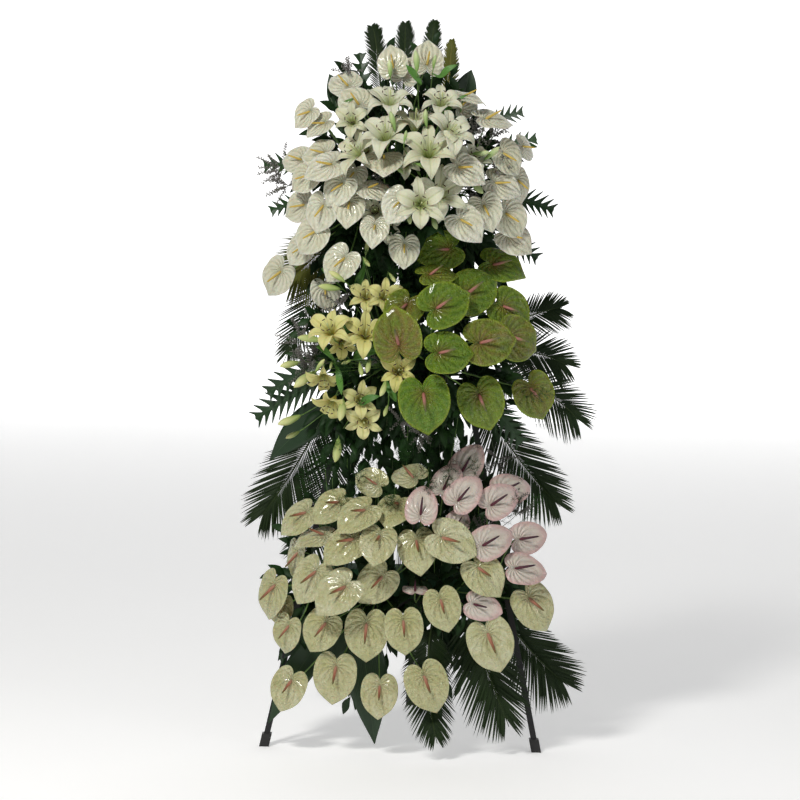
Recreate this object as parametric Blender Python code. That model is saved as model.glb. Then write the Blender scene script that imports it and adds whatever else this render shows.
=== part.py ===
# A three-tier standing funeral spray: anthuriums, lilies, palm fronds and broad leaves set in
# three blocks of wet floral foam on a black steel easel. Metres, +Z up, seen from -Y.
# The tables of flowers are in centimetres (side, up) on the easel's front elevation. place()
# moves each spot along the line of sight, so that nearer flowers still cover the same spot.

import math
import random

import bmesh
import bpy
from mathutils import Vector

EYE = Vector((0.0, -7.0, 1.4))
MIDDLE = Vector((-0.032, 0.0, 0.0))    # from the origin to the easel's own middle plane
GAP = 0.0003                           # between pieces that touch
SLIVER = 0.000005                      # triangles thinner than this are mended

APEX_HEIGHT = 1.70
FOOT_SIDE = 0.36
FOOT_FRONT = -0.20
FOOT_REAR = 0.43
TUBE = 0.016
TUBE_WALL = 0.0012
LEG_TOP = 1.655
CAP_SIZE = 0.026
CAP_HEIGHT = 0.034
CAP_SOLE = 0.004
PLATE_WIDTH = 0.060
PLATE_THICKNESS = 0.004
PLATE_HEIGHT = 0.055
BAR = 0.012
REAR_LEG_TOP_BACK = 0.0175             # how far the rear leg's top stands behind the apex
REAR_LEG_ASIDE = (0.012, 0.030)        # and to the right of the middle, at its top and foot

TRAY_WALL = 0.002
TRAY_RIM = 0.024

# Each tier: shelf height, foam block (width, depth, height), foam front, and the dome of
# flowers over it (middle side, middle up, reach sideways, reach upwards, out at the middle).
TIERS = {
    "low": {"shelf": 0.372, "foam": (0.40, 0.12, 0.10), "front": -0.19,
            "dome": (-0.01, 0.42, 0.50, 0.40, 0.33)},
    "middle": {"shelf": 0.975, "foam": (0.22, 0.12, 0.10), "front": -0.15,
               "dome": (0.0, 1.03, 0.44, 0.36, 0.31)},
    "top": {"shelf": 1.370, "foam": (0.20, 0.11, 0.16), "front": -0.165,
            "dome": (-0.01, 1.52, 0.40, 0.40, 0.31)},
}
DOME_EDGE = 0.10
LAYER_STEP = 0.016

BLADE = 0.0012
STEM = 0.0022
PLUG_SIZE = 0.014
PLUG_IN = 0.030
PLUG_OUT = 0.030
MOUTH = 0.022
FROND_PLUG = 0.009
HOLE_CLEAR = 0.0004

# Half of a spathe from its point to its cleft, the whole leaf about 1 long.
HEART = ((0.0, 0.74), (0.25, 0.50), (0.44, 0.14), (0.40, -0.16), (0.16, -0.27), (0.0, -0.11))
EGG = ((0.0, 0.74), (0.25, 0.50), (0.38, 0.14), (0.34, -0.16), (0.15, -0.27), (0.0, -0.11))
OVAL = ((0.0, 0.78), (0.21, 0.52), (0.35, 0.16), (0.31, -0.14), (0.13, -0.22), (0.0, -0.12))
HEART_CUP = 0.20
NECK = 0.04
SPADIX_RISE = 38.0
SPADIX_LENGTH = 0.40
SPADIX_WIDTH = 0.030
SPADIX_MIN = 0.0026
OUTLINES = {"cream_spathe": EGG, "blush_spathe": OVAL}   # HEART for the others
SIDES = (0.0, 2 * math.pi / 3, 4 * math.pi / 3)

RACHIS = 0.0034
FROND_BARE = 0.22
FROND_LOOK = Vector((0.0, -1.0, 0.25))
LEAFLET_DROOP = Vector((0.0, 0.10, -0.16))
LEAF_LOOK = Vector((0.0, -1.0, 0.30))
LEAF_DEEP = 0.0014
LEAF_ARCH = Vector((0.0, -0.06, 0.10))

MATERIALS = {
    "black_steel": ((0.012, 0.012, 0.013), 0.42, 0.6),
    "black_plastic": ((0.02, 0.02, 0.02), 0.5, 0.0),
    "wet_foam": ((0.05, 0.16, 0.07), 0.95, 0.0),
    "white_spathe": ((0.86, 0.86, 0.78), 0.32, 0.0),
    "green_spathe": ((0.30, 0.42, 0.10), 0.3, 0.0),
    "cream_spathe": ((0.80, 0.80, 0.52), 0.34, 0.0),
    "blush_spathe": ((0.86, 0.74, 0.74), 0.34, 0.0),
    "white_lily": ((0.90, 0.91, 0.85), 0.45, 0.0),
    "yellow_lily": ((0.86, 0.83, 0.42), 0.45, 0.0),
    "palm": ((0.02, 0.055, 0.02), 0.35, 0.0),
    "leaf": ((0.03, 0.10, 0.03), 0.35, 0.0),
}

# Anthuriums: (side, up, layer, length, aim of the point, yaw, pitch) in cm and degrees.
# aim is measured on the front elevation from the right; yaw turns the face to the right.
ANTHURIUMS = {
    "white_left_high": ("white_spathe", "top", "left", (-3.5, 5.0), [
        (-28, 168, 1, 8.5, 210, -35, 20),
        (-24, 165, 0, 8.5, 200, -30, 35),
        (-30, 155, 0, 9, 165, -25, 25),
        (-24, 157, 1, 9.5, 175, -25, 30),
        (-22, 154, 3, 11, 200, -15, 40),
        (-28, 151, 1, 9, 205, -30, 15),
        (-16, 152, -1, 8.5, 250, -5, 20),
        (-19, 149, 3, 10, 230, -20, 10),
    ]),
    "white_left_low": ("white_spathe", "top", "left", (-3.5, -3.5), [
        (-29, 143, 0, 9.5, 195, -30, 15),
        (-24, 143, 1, 10.5, 250, -25, 5),
        (-26, 136, 2, 10.5, 225, -25, 10),
        (-29, 132, 0, 9, 225, -25, 10),
        (-35, 125, 2, 11, 228, -30, 5),
        (-10, 138, 3, 8.5, 265, 0, 30),
        (-18, 129, 3, 10.5, 235, -10, 15),
        (-23, 121, 0, 9, 280, -5, 0),
    ]),
    "white_crown": ("white_spathe", "top", "top", (-3.0, -3.0), [
        (-18, 175, 0, 9.5, 135, -15, 35),
        (-15, 170, 2, 10, 130, -5, 30),
        (-6, 180, 1, 9, 100, -5, 10),
        (3, 181, 0, 9.5, 85, 10, 10),
        (-3, 178, -1, 8.5, 70, 0, 20),
    ]),
    "white_front_left": ("white_spathe", "top", "front", (-7.5, 2.5), [
        (-12, 148, 0, 10, 300, 0, 60),
        (-8, 156, 3, 11, 270, 0, 60),
        (-17, 144, 1, 9.5, 265, 0, 25),
    ]),
    "white_front_low": ("white_spathe", "top", "front", (-1.4, -4.6), [
        (-3, 145, 2, 10, 240, -10, 15),
        (-2, 133, 1, 9, 270, 0, 20),
    ]),
    "white_right_high": ("white_spathe", "top", "right", (-3.0, 4.6), [
        (19, 167, 1, 11, 30, 20, 60),
        (13, 173, 0, 9, 20, 25, 65),
        (12, 170, -1, 8.5, 40, 15, 30),
        (24, 158, 0, 10, 320, 30, 10),
        (29, 160, -1, 8, 0, 50, 20),
    ]),
    "white_right_low": ("white_spathe", "top", "right", (-3.4, -3.6), [
        (12, 154, 3, 11, 330, 10, 35),
        (22, 150, 1, 10.5, 345, 15, 30),
        (28, 151, -1, 9.5, 300, 55, 10),
        (19, 144, 2, 10, 290, 5, 10),
        (25, 142, 0, 11, 315, 25, 10),
        (13, 140, 3, 10.5, 315, 5, 20),
        (26, 136, 1, 10.5, 330, 15, 25),
    ]),
    "green_upper": ("green_spathe", "middle", "top", (5.0, 0.5), [
        (10, 132, 2, 11.7, 200, 0, 20),
        (22, 128, 1, 12.6, 350, 10, 45),
        (5, 125, 0, 10.8, 25, 0, 55),
        (15, 120, 2, 13.5, 35, 5, 20),
        (25, 117, 1, 12.6, 330, 20, 15),
    ]),
    "green_centre": ("green_spathe", "middle", "front", (4.1, 2.7), [
        (-1, 117, 1, 11.7, 250, -10, 30),
        (7, 116, 4, 13.5, 30, 0, 15),
        (8, 104, 5, 12.6, 5, 5, 20),
        (19, 107, 4.7, 13.5, 10, 5, 15),
        (27, 109, 1, 13.1, 340, 25, 5),
    ]),
    "green_lower": ("green_spathe", "middle", "front", (6.0, -1.0), [
        (-3, 106, 2, 14, 100, -5, -5),
        (4, 93, 4, 14.8, 278, 0, 5),
        (19, 93, 2, 13.5, 290, 5, 5),
        (33, 95, 1, 12.6, 300, 20, 5),
    ]),
    "cream_upper": ("cream_spathe", "low", "top", (-8.0, -3.0), [
        (-8, 68, 0, 9.5, 150, -10, 20),
        (2, 70, 0, 11, 125, -20, 55),
        (-2, 63, 1, 12.5, 260, 0, 60),
        (-11, 61, 2, 12.5, 230, -10, 45),
        (-18, 63, 0, 12, 230, -15, 45),
        (-27, 60, 0, 12, 225, -25, 35),
    ]),
    "cream_left": ("cream_spathe", "low", "left", (-3.9, 1.6), [
        (-22, 54, 0, 11.5, 200, -20, 65),
        (-14, 53, 2, 13.5, 225, -15, 40),
        (-29, 49, -1, 12.5, 260, -60, 5),
        (-24, 44, 1, 13.5, 240, -25, 20),
        (-35, 40, 1, 13.5, 245, -45, 10),
        (-33, 35, -1, 9, 265, -30, 10),
        (-31, 29, 0, 11, 250, -35, 5),
    ]),
    "cream_middle": ("cream_spathe", "low", "front", (-4.0, 2.5), [
        (-7, 54, 3, 12, 265, -5, 45),
        (3, 53, 2, 12.5, 278, 0, 25),
        (10, 54, 4, 14, 335, 5, 20),
        (-16, 40, 3, 14, 225, -10, 25),
        (-6, 43, 2, 12.5, 230, 0, 10),
    ]),
    "cream_right": ("cream_spathe", "low", "front", (13.0, 0.0), [
        (20, 46, 2, 13, 310, 10, 20),
        (10, 37, 3, 12, 285, 0, 10),
        (23, 28, 4, 15, 290, 5, 5),
        (34, 38, 2, 14, 305, 20, 15),
    ]),
    "cream_low": ("cream_spathe", "low", "front", (-7.0, -0.5), [
        (-21, 30, 3, 12.5, 240, -15, 5),
        (-10, 30, 3, 14, 270, -5, 5),
        (0, 31, 4, 12.5, 275, 0, 5),
        (-30, 14, 6.5, 12, 250, -15, 15),
        (-18, 18, 4, 14, 265, -5, 5),
        (-6, 13, 5, 12, 268, 0, 15),
        (6, 16, 6, 14, 290, 0, 10),
    ]),
    "blush_upper": ("blush_spathe", "low", "top", (8.0, -5.0), [
        (4, 60, 2, 11.5, 85, 0, 25),
        (10, 67, -1, 11, 65, 0, 20),
        (15, 72, 0, 12, 60, 0, 20),
        (14, 64, 3, 12, 50, 5, 20),
        (13, 56, 1, 9.5, 60, 15, 20),
        (3, 39, 1, 9, 90, 0, 75),
    ]),
    "blush_right": ("blush_spathe", "low", "right", (-4.0, 1.5), [
        (26, 67, -1, 12.5, 25, 20, 30),
        (23, 63, 2, 12.5, 35, 15, 20),
        (21, 52, 3, 12.5, 30, 10, 20),
        (31, 54, 0, 12, 10, 25, 10),
        (30, 46, 3, 12.5, 5, 20, 30),
        (19, 36, 3, 10.5, 345, 5, 10),
    ]),
}

# Lilies: open flowers (side, up, layer, petal length, yaw, pitch), then their buds
# (side, up, layer, length, aim).
LILIES = {
    "lily_white_crown": ("white_lily", "top", "top", (2.5, -3.5), [
        (-7, 172, 3, 11, 0, 55), (0, 167, 3, 11, 5, 75), (7, 172, 3, 10, 0, 50),
    ], [
        (0, 182, 5, 5.5, 95), (5, 182, 3, 3.5, 80), (-7, 180, 3, 4.5, 95),
    ]),
    "lily_white_left": ("white_lily", "top", "front", (-5.0, 5.5), [
        (-8, 163, 3, 12, -10, 45), (-17, 166, 4, 8, -10, 20),
        (-16, 158, 3, 11, -45, 30), (-13, 158, 0, 7, -10, 10),
    ], [
        (-6, 166, 5, 5, 105), (-4, 153, 2, 3.5, -50),
    ]),
    "lily_white_centre": ("white_lily", "top", "front", (2.5, 4.0), [
        (4, 159, 6, 13, 0, 35), (10, 164, 4, 11, 25, 30),
        (-2, 155, 1, 7, 0, 20), (16, 157, 2, 9, 30, 40),
    ], [
        (3, 167, 6, 4.5, 95), (0, 159, 5, 3.5, 95), (-2.5, 162, 8, 3, 80),
        (3, 154, 5, 5, -25),
        (18, 158, 3, 4.5, 0), (21, 158, 3, 5, 40),
    ]),
    "lily_white_low": ("white_lily", "top", "front", (4.0, -1.5), [
        (7, 147, 4, 12, 5, 15), (2, 144, 4, 11, 0, 5),
    ], [
        (17, 149, 4, 6, -55),
        (6, 139, 4, 4.5, -75), (-1, 140, 4, 4, -80),
    ]),
    "lily_white_shade": ("white_lily", "top", "front", (-5.0, -4.6), [
        (-6.7, 138, -3, 7.6, 0, 0), (-10, 142, -3, 6.5, -10, 10),
    ], []),
    "lily_yellow_upper": ("yellow_lily", "middle", "front", (-6.0, 2.8), [
        (-22, 110, 2, 10, -20, 35), (-12, 109, 3, 10, 0, 25), (-12, 119, 1, 8, 0, 20),
        (-7, 119, 1, 8, 5, 15), (-18, 106, 1, 7.5, 10, -10),
    ], [
        (-12, 132, 2, 4, 80), (-12, 128, 2, 3.5, -60), (-20, 124, 5, 5, 150),
        (-22, 121, 3, 6, 180), (-5, 124, 2, 3.5, -60), (-27, 107, 3, 6.5, 180),
    ]),
    "lily_yellow_lower": ("yellow_lily", "middle", "front", (-6.0, -1.5), [
        (-3, 99, 3, 8.5, 0, 10), (-23, 96, 1, 8, 0, -50), (-21, 89, 1, 8.5, -30, -45),
        (-13, 91, 1, 8, 0, 10), (-12, 85, 1, 8.5, 0, -10),
    ], [
        (-32, 100, 0, 6, 200), (-24, 100, 2, 4, 55), (-28, 96, 1, 8, 225),
        (-21, 100, 1, 2.5, 260), (-17, 101, 2, 3, 210), (-13, 99, 3, 4.2, 280),
        (-11, 100, 3, 4.5, 260), (-7, 94, 4, 5, 255), (-18, 88, 3, 7, 265),
        (-6, 88, 3, 3.6, 255), (-32, 85, 1, 7, 210), (-31, 81, 0, 4.5, 215),
        (-19, 77, 2, 7.5, 265),
    ]),
}

# Palm fronds: tier, face, spot on the face, then (side, up, out) of the rachis's middle and
# tip, the longest leaflet and the pairs of leaflets.
FRONDS = {
    "frond_top_1": ("top", "top", (-7.5, 4.6), (-10, 182, 4), (-12, 191, 0), 5.5, 12),
    "frond_top_2": ("top", "top", (-3.5, 2.6), (-3, 182, 9), (-3, 192, 7), 5.5, 12),
    "frond_top_3": ("top", "top", (3.0, 4.6), (4, 182, 4), (5, 193, 0), 5.5, 12),
    "frond_top_4": ("top", "top", (7.0, 2.6), (9, 178, 8), (9.5, 188, 6), 4.5, 12),
    "frond_left_1": ("top", "left", (0.5, -4.6), (-22, 133, 9), (-33, 122, 9), 11, 12),
    "frond_left_2": ("top", "left", (4.0, -4.6), (-24, 122, 1), (-34, 100, 1), 10, 12),
    "frond_left_3": ("middle", "left", (4.2, 1.4), (-28, 76, 2), (-39.5, 58, 4), 13, 16),
    "frond_left_4": ("middle", "left", (4.2, -1.7), (-21, 70, -1), (-29, 41, 2), 12, 14),
    "frond_right_1": ("middle", "right", (2.9, 3.6), (31, 114, 5), (41, 117, 3), 9, 12),
    "frond_right_2": ("middle", "right", (4.6, 1.5), (31, 105, 1), (43.5, 101, -1), 11, 12),
    "frond_right_3": ("middle", "right", (2.9, -0.6), (35, 95, 6), (46.5, 86, 6), 11, 12),
    "frond_right_4": ("middle", "right", (4.6, -1.8), (28, 79, 3), (42, 63, 3), 13, 16),
    "frond_right_5": ("low", "right", (4.2, 0.0), (32, 27, 7), (45.5, 14, 5), 14, 16),
    "frond_low_1": ("low", "front", (9.0, -1.7), (7, 18, 28), (10, -2.5, 36), 9.5, 16),
    "frond_low_2": ("low", "front", (16.8, -1.7), (21, 24, 25), (29.5, 2.5, 28), 14, 16),
}

# Broad leaves: (side, up, out) of the blade's foot and tip, width in cm, lobes on a side.
LEAVES = {
    "leaves_top_left": ("top", "left", (3.5, 1.5), [
        ((-18, 166, 1), (-23, 178, 1), 6, 0), ((-27, 153, 1), (-40, 153, 3), 7, 3),
        ((-27, 144, 1), (-38, 141, 3), 6, 3), ((-13, 164, 2), (-15, 184, 1), 6, 3),
    ]),
    "leaves_top_right": ("top", "right", (3.5, 1.5), [
        ((12, 168, 1), (15, 180, 1), 6, 0), ((19, 165, 2), (29, 169, 3), 6, 3),
        ((20, 157, 2), (33, 162, 3), 6, 3), ((23, 146, 2), (38, 143, 3), 8, 4),
        ((20, 136, 2), (34, 130, 3), 8, 4),
    ]),
    "leaves_middle_left": ("middle", "left", (-4.3, -1.0), [
        ((-19, 102, 13), (-38, 92, 11), 9, 4), ((-20, 97, 12), (-41, 85, 9), 10, 5),
        ((-18, 91, 12), (-37, 74, 9), 9, 0),
    ]),
    "leaves_middle_right": ("middle", "right", (-4.3, -1.7), [
        ((19, 93, 13), (31, 80, 12), 9, 4), ((23, 101, 12), (32, 93, 11), 8, 4),
    ]),
    "leaves_low": ("low", "front", (-14.0, -1.7), [
        ((-19, 30, 21.5), (-36, 2, 22), 8, 0), ((-21, 33, 21.5), (-32, 20, 20), 6, 0),
        ((-12, 31, 20.3), (-7, -3, 22), 11, 0), ((-15, 32, 21.5), (-20, 18, 21), 7, 0),
    ]),
}


def clear_scene():
    for obj in list(bpy.data.objects):
        bpy.data.objects.remove(obj, do_unlink=True)


def make_material(name):
    colour, roughness, metallic = MATERIALS[name]
    material = bpy.data.materials.get(name) or bpy.data.materials.new(name)
    material.use_nodes = True
    shader = material.node_tree.nodes["Principled BSDF"]
    shader.inputs["Base Color"].default_value = (*colour, 1.0)
    shader.inputs["Roughness"].default_value = roughness
    shader.inputs["Metallic"].default_value = metallic
    return material


def make_object(name, points, faces, material):
    mesh = bpy.data.meshes.new(name)
    mesh.from_pydata([tuple(p) for p in points], [], faces)
    edit = bmesh.new()
    edit.from_mesh(mesh)
    bmesh.ops.recalc_face_normals(edit, faces=edit.faces)
    if edit.calc_volume(signed=True) < 0:
        bmesh.ops.reverse_faces(edit, faces=edit.faces)
    edit.to_mesh(mesh)
    edit.free()
    mesh.materials.append(make_material(material))
    obj = bpy.data.objects.new(name, mesh)
    bpy.context.scene.collection.objects.link(obj)
    return obj


def weld_short_edges(edit):
    # Only where the two ends share just the two neighbours beside their edge.
    short = [edge for edge in edit.edges if edge.calc_length() < SLIVER]
    for edge in short:
        if not edge.is_valid:
            continue
        one, other = edge.verts
        near = {e.other_vert(one) for e in one.link_edges} & {e.other_vert(other) for e in other.link_edges}
        if len(near) == 2:
            bmesh.ops.weld_verts(edit, targetmap={one: other})


def turn_slivers(edit):
    # The longest edge of a very thin triangle is turned to join the two spots opposite it.
    for _ in range(4):
        for face in list(edit.faces):
            if not face.is_valid:
                continue
            edge = max(face.edges, key=lambda e: e.calc_length())
            if 2 * face.calc_area() > SLIVER * edge.calc_length():
                continue
            tips = [next(v for v in side.verts if v not in edge.verts) for side in edge.link_faces]
            if edit.edges.get(tips) is None:
                bmesh.ops.rotate_edges(edit, edges=[edge])


def boolean(obj, others, operation, solver):
    # Applies one Boolean with all the other objects and removes them.
    tools = bpy.data.collections.new("tools")
    bpy.context.scene.collection.children.link(tools)
    for other in others:
        other.hide_render = True
        other.display_type = "WIRE"
        bpy.context.scene.collection.objects.unlink(other)
        tools.objects.link(other)
    modifier = obj.modifiers.new("join", "BOOLEAN")
    modifier.operand_type = "COLLECTION"
    modifier.collection = tools
    modifier.operation = operation
    modifier.solver = solver
    depsgraph = bpy.context.evaluated_depsgraph_get()
    mesh = bpy.data.meshes.new_from_object(obj.evaluated_get(depsgraph))
    obj.modifiers.clear()
    material = obj.data.materials[0]
    obj.data = mesh
    mesh.materials.clear()
    mesh.materials.append(material)
    for polygon in mesh.polygons:
        polygon.material_index = 0
    edit = bmesh.new()
    edit.from_mesh(mesh)
    bmesh.ops.triangulate(edit, faces=edit.faces)
    weld_short_edges(edit)
    turn_slivers(edit)
    edit.to_mesh(mesh)
    edit.free()
    for other in others:
        bpy.data.objects.remove(other, do_unlink=True)
    bpy.data.collections.remove(tools)
    return obj


def place(side, up, out):
    # A spot of the front elevation, `out` metres in front of the easel's middle, on the same
    # line of sight.
    flat = Vector((side, 0.0, up))
    return EYE + (flat - EYE) * (1.0 + out / EYE.y) + MIDDLE


def turned(vector, before, after):
    return before.rotation_difference(after) @ vector


def frame_of(yaw, pitch, aim):
    # The across, tip and facing directions of a flower.
    yaw, pitch, aim = math.radians(yaw), math.radians(pitch), math.radians(aim)
    facing = Vector((math.sin(yaw) * math.cos(pitch), -math.cos(yaw) * math.cos(pitch),
                     math.sin(pitch)))
    tip = Vector((math.cos(aim), 0.0, math.sin(aim)))
    tip = (tip - facing * tip.dot(facing)).normalized()
    return tip.cross(facing), tip, facing


# The stand

def leg_spot(side, height):
    # Middle of a leg at a height; side is -1 or 1 for the front legs and 0 for the rear leg.
    share = 1.0 - height / APEX_HEIGHT
    if side:
        return MIDDLE + Vector((side * FOOT_SIDE * share, FOOT_FRONT * share, height))
    back = REAR_LEG_TOP_BACK + (FOOT_REAR - REAR_LEG_TOP_BACK) * share
    aside = REAR_LEG_ASIDE[0] + (REAR_LEG_ASIDE[1] - REAR_LEG_ASIDE[0]) * share
    return MIDDLE + Vector((aside, back, height))


def sheared_bar(name, low, high, size, material):
    # A bar with level ends between two spots; size is (x, y).
    corners = [(-1, -1), (1, -1), (1, 1), (-1, 1)]
    points = [spot + Vector((x * size[0] / 2, y * size[1] / 2, 0)) for spot in (low, high)
              for x, y in corners]
    faces = [(0, 1, 2, 3), (4, 5, 6, 7)] + [(i, (i + 1) % 4, 4 + (i + 1) % 4, 4 + i) for i in range(4)]
    return make_object(name, points, faces, material)


def make_leg(name, side):
    foot = leg_spot(side, CAP_SOLE + GAP)
    top = leg_spot(side, LEG_TOP)
    leg = sheared_bar(name, foot, top, (TUBE, TUBE), "black_steel")
    along = (top - foot) * 0.01
    inner = TUBE - 2 * TUBE_WALL
    bore = sheared_bar("bore", foot - along, top + along, (inner, inner), "black_steel")
    boolean(leg, [bore], "DIFFERENCE", "EXACT")


def make_foot_cap(name, side):
    low, high = leg_spot(side, 0.0), leg_spot(side, CAP_HEIGHT)
    cap = sheared_bar(name, low, high, (CAP_SIZE, CAP_SIZE), "black_plastic")
    seat = sheared_bar("seat", leg_spot(side, CAP_SOLE), leg_spot(side, CAP_HEIGHT * 1.5),
                       (TUBE + 2 * GAP, TUBE + 2 * GAP), "black_plastic")
    boolean(cap, [seat], "DIFFERENCE", "EXACT")


def make_apex_plate():
    # Stands between the front legs and the rear leg, along the backs of the front legs.
    top, low = LEG_TOP, LEG_TOP - PLATE_HEIGHT
    spots = []
    for height in (low, top):
        middle = leg_spot(1, height)
        behind = TUBE / 2 + GAP + PLATE_THICKNESS / 2
        spots.append(Vector((MIDDLE.x, middle.y + behind, height)))
    sheared_bar("apex_plate", spots[0], spots[1], (PLATE_WIDTH, PLATE_THICKNESS), "black_steel")


def block(name, low, high, material):
    middle = (low + high) / 2
    size = high - low
    return sheared_bar(name, Vector((middle.x, middle.y, low.z)), Vector((middle.x, middle.y, high.z)),
                       (size.x, size.y), material)


def make_shelf(name, tier):
    # A rail from under the foam back to the rear leg, a bar behind the legs and one in front.
    sizes = TIERS[tier]
    top = sizes["shelf"]
    low = top - BAR
    leg = leg_spot(1, top)
    bar_front = leg.y + TUBE / 2 + GAP
    half_bar = leg.x - MIDDLE.x + TUBE / 2
    rear = leg_spot(0, top).y - TUBE / 2 - GAP
    front = sizes["front"] - TRAY_WALL
    rail = leg_spot(0, top).x
    shelf = block(name, Vector((rail - BAR / 2, front, low)), Vector((rail + BAR / 2, rear, top)),
                  "black_steel")
    crossbar = block("bar", MIDDLE + Vector((-half_bar, bar_front, low)),
                     MIDDLE + Vector((half_bar, bar_front + BAR, top)), "black_steel")
    half_front = sizes["foam"][0] * 0.35
    front_bar = block("bar", MIDDLE + Vector((-half_front, front, low)),
                      MIDDLE + Vector((half_front, front + BAR, top)), "black_steel")
    boolean(shelf, [crossbar, front_bar], "UNION", "MANIFOLD")


def foam_box(tier):
    sizes = TIERS[tier]
    width, depth, height = sizes["foam"]
    floor = sizes["shelf"] + 2 * GAP + TRAY_WALL
    low = MIDDLE + Vector((-width / 2, sizes["front"], floor))
    return low, low + Vector((width, depth, height))


def make_tray(name, tier):
    low, high = foam_box(tier)
    edge = Vector((TRAY_WALL + GAP, TRAY_WALL + GAP, 0))
    bottom = Vector((0, 0, TRAY_WALL + GAP))
    rim_top = Vector((high.x, high.y, low.z + TRAY_RIM))
    tray = block(name, low - edge - bottom, rim_top + edge, "black_plastic")
    clear = Vector((GAP, GAP, 0))
    inside = block("inside", low - clear - Vector((0, 0, GAP)), rim_top + clear + Vector((0, 0, 0.01)),
                   "black_plastic")
    boolean(tray, [inside], "DIFFERENCE", "EXACT")


def face_spot(tier, face, offset):
    # A spot on a face of the foam and the way the face looks; the offset is in cm from the
    # face's middle, along the face and then up (back, on the top face).
    low, high = foam_box(tier)
    middle = (low + high) / 2
    along, rise = offset[0] / 100, offset[1] / 100
    if face == "front":
        return Vector((middle.x + along, low.y, middle.z + rise)), Vector((0, -1, 0))
    if face == "left":
        return Vector((low.x, middle.y + along, middle.z + rise)), Vector((-1, 0, 0))
    if face == "right":
        return Vector((high.x, middle.y + along, middle.z + rise)), Vector((1, 0, 0))
    return Vector((middle.x + along, middle.y + rise, high.z)), Vector((0, 0, 1))


def square_plug(name, start, end, size, material):
    # A square peg along one of the three axes.
    way = (end - start).normalized()
    across = Vector((0, 0, 1)) if abs(way.z) < 0.5 else Vector((1, 0, 0))
    other = way.cross(across)
    half = size / 2
    points = [spot + across * a * half + other * b * half for spot in (start, end)
              for a, b in ((-1, -1), (1, -1), (1, 1), (-1, 1))]
    faces = [(0, 1, 2, 3), (4, 5, 6, 7)] + [(i, (i + 1) % 4, 4 + (i + 1) % 4, 4 + i) for i in range(4)]
    return make_object(name, points, faces, material)


def make_foam(name, tier, plugs):
    low, high = foam_box(tier)
    foam = block(name, low, high, "wet_foam")
    holes = []
    for spot, way, size in plugs:
        holes.append(square_plug("hole", spot - way * (PLUG_IN + HOLE_CLEAR), spot + way * 0.005,
                                 size + 2 * HOLE_CLEAR, "wet_foam"))
    boolean(foam, holes, "DIFFERENCE", "MANIFOLD")


# Flowers

class Flower:
    # One flower at its place; `out` is how far it stands in front of the easel's middle.

    def __init__(self, group, kind, tier, row):
        self.group = group
        self.kind = kind
        self.side, self.up = row[0] / 100, row[1] / 100
        self.layer, self.length = row[2], row[3] / 100
        if kind == "bud":
            self.aim, yaw, pitch = row[4], 0, 20
        elif kind == "lily":
            self.aim, yaw, pitch = 90, row[4], row[5]
        else:
            self.aim, yaw, pitch = row[4:7]
        self.across, self.tip, self.facing = frame_of(yaw, pitch, self.aim)
        side, up, wide, high, middle_out = TIERS[tier]["dome"]
        spread = ((self.side - side) / wide) ** 2 + ((self.up - up) / high) ** 2
        height = math.sqrt(max(0.0, 1.0 - spread))
        self.out = DOME_EDGE + (middle_out - DOME_EDGE) * height + self.layer * LAYER_STEP

    def at(self, x=0.0, y=0.0, z=0.0):
        spot = place(self.side, self.up, self.out)
        scale = self.length
        return spot + (self.across * x + self.tip * y + self.facing * z) * scale

    def marks(self):
        # Spots that stand for the flower when its neighbours are kept clear of it.
        if self.kind == "bud":
            return [self.at(y=y) for y in (-0.5, 0.0, 0.5)]
        if self.kind == "lily":
            turns = [math.radians(60 * i + 30) for i in range(6)]
            rim = [self.at(0.5 * math.cos(t), 0.5 * math.sin(t), -0.04) for t in turns]
            rim += [self.at(0.3 * math.cos(t), 0.3 * math.sin(t), 0.02) for t in turns]
            return rim + [self.at(z=-0.42), self.at(z=-0.2)]
        outline = HEART + tuple((-x, y) for x, y in HEART[1:-1])
        rim = [self.at(x, y, -HEART_CUP * (x * x + y * y)) for x, y in outline]
        return rim + [self.at(y=0.18, z=0.14), self.at(y=0.33, z=0.26), self.at()]

    def disc(self):
        if self.kind == "bud":
            return None
        middle = self.at(y=0.22, z=-0.02) if self.kind == "anthurium" else self.at()
        return middle, self.facing, self.length * 0.5


def crosses(one, other, clear=0.007):
    # Whether some marks of one lie within the disc of the other on both of its sides, or on it.
    for a, b in ((one, other), (other, one)):
        disc = a.disc()
        if disc is None:
            continue
        middle, facing, radius = disc
        heights = []
        for mark in b.marks():
            offset = mark - middle
            height = offset.dot(facing)
            if (offset - facing * height).length < radius:
                heights.append(height)
        if heights and min(heights) < clear and max(heights) > -clear:
            return True
    return False


def settle(flowers):
    # From the back to the front, each flower is drawn towards the viewer until it is clear.
    settled = []
    for flower in sorted(flowers, key=lambda f: f.out):
        for _ in range(40):
            if not any(crosses(flower, other) for other in settled):
                break
            flower.out += 0.005
        settled.append(flower)


def zip_rings(outer, inner):
    # Triangles between two rings in the order of their bearings; each is [(index, bearing)].
    triangles = []
    i = j = 0
    while i < len(outer) or j < len(inner):
        next_outer = outer[i + 1][1] if i + 1 < len(outer) else 360.0 + outer[0][1]
        next_inner = inner[j + 1][1] if j + 1 < len(inner) else 360.0 + inner[0][1]
        a, b = outer[i % len(outer)][0], inner[j % len(inner)][0]
        if i < len(outer) and (next_outer <= next_inner or j >= len(inner)):
            triangles.append((a, outer[(i + 1) % len(outer)][0], b))
            i += 1
        else:
            triangles.append((a, inner[(j + 1) % len(inner)][0], b))
            j += 1
    return triangles


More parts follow.
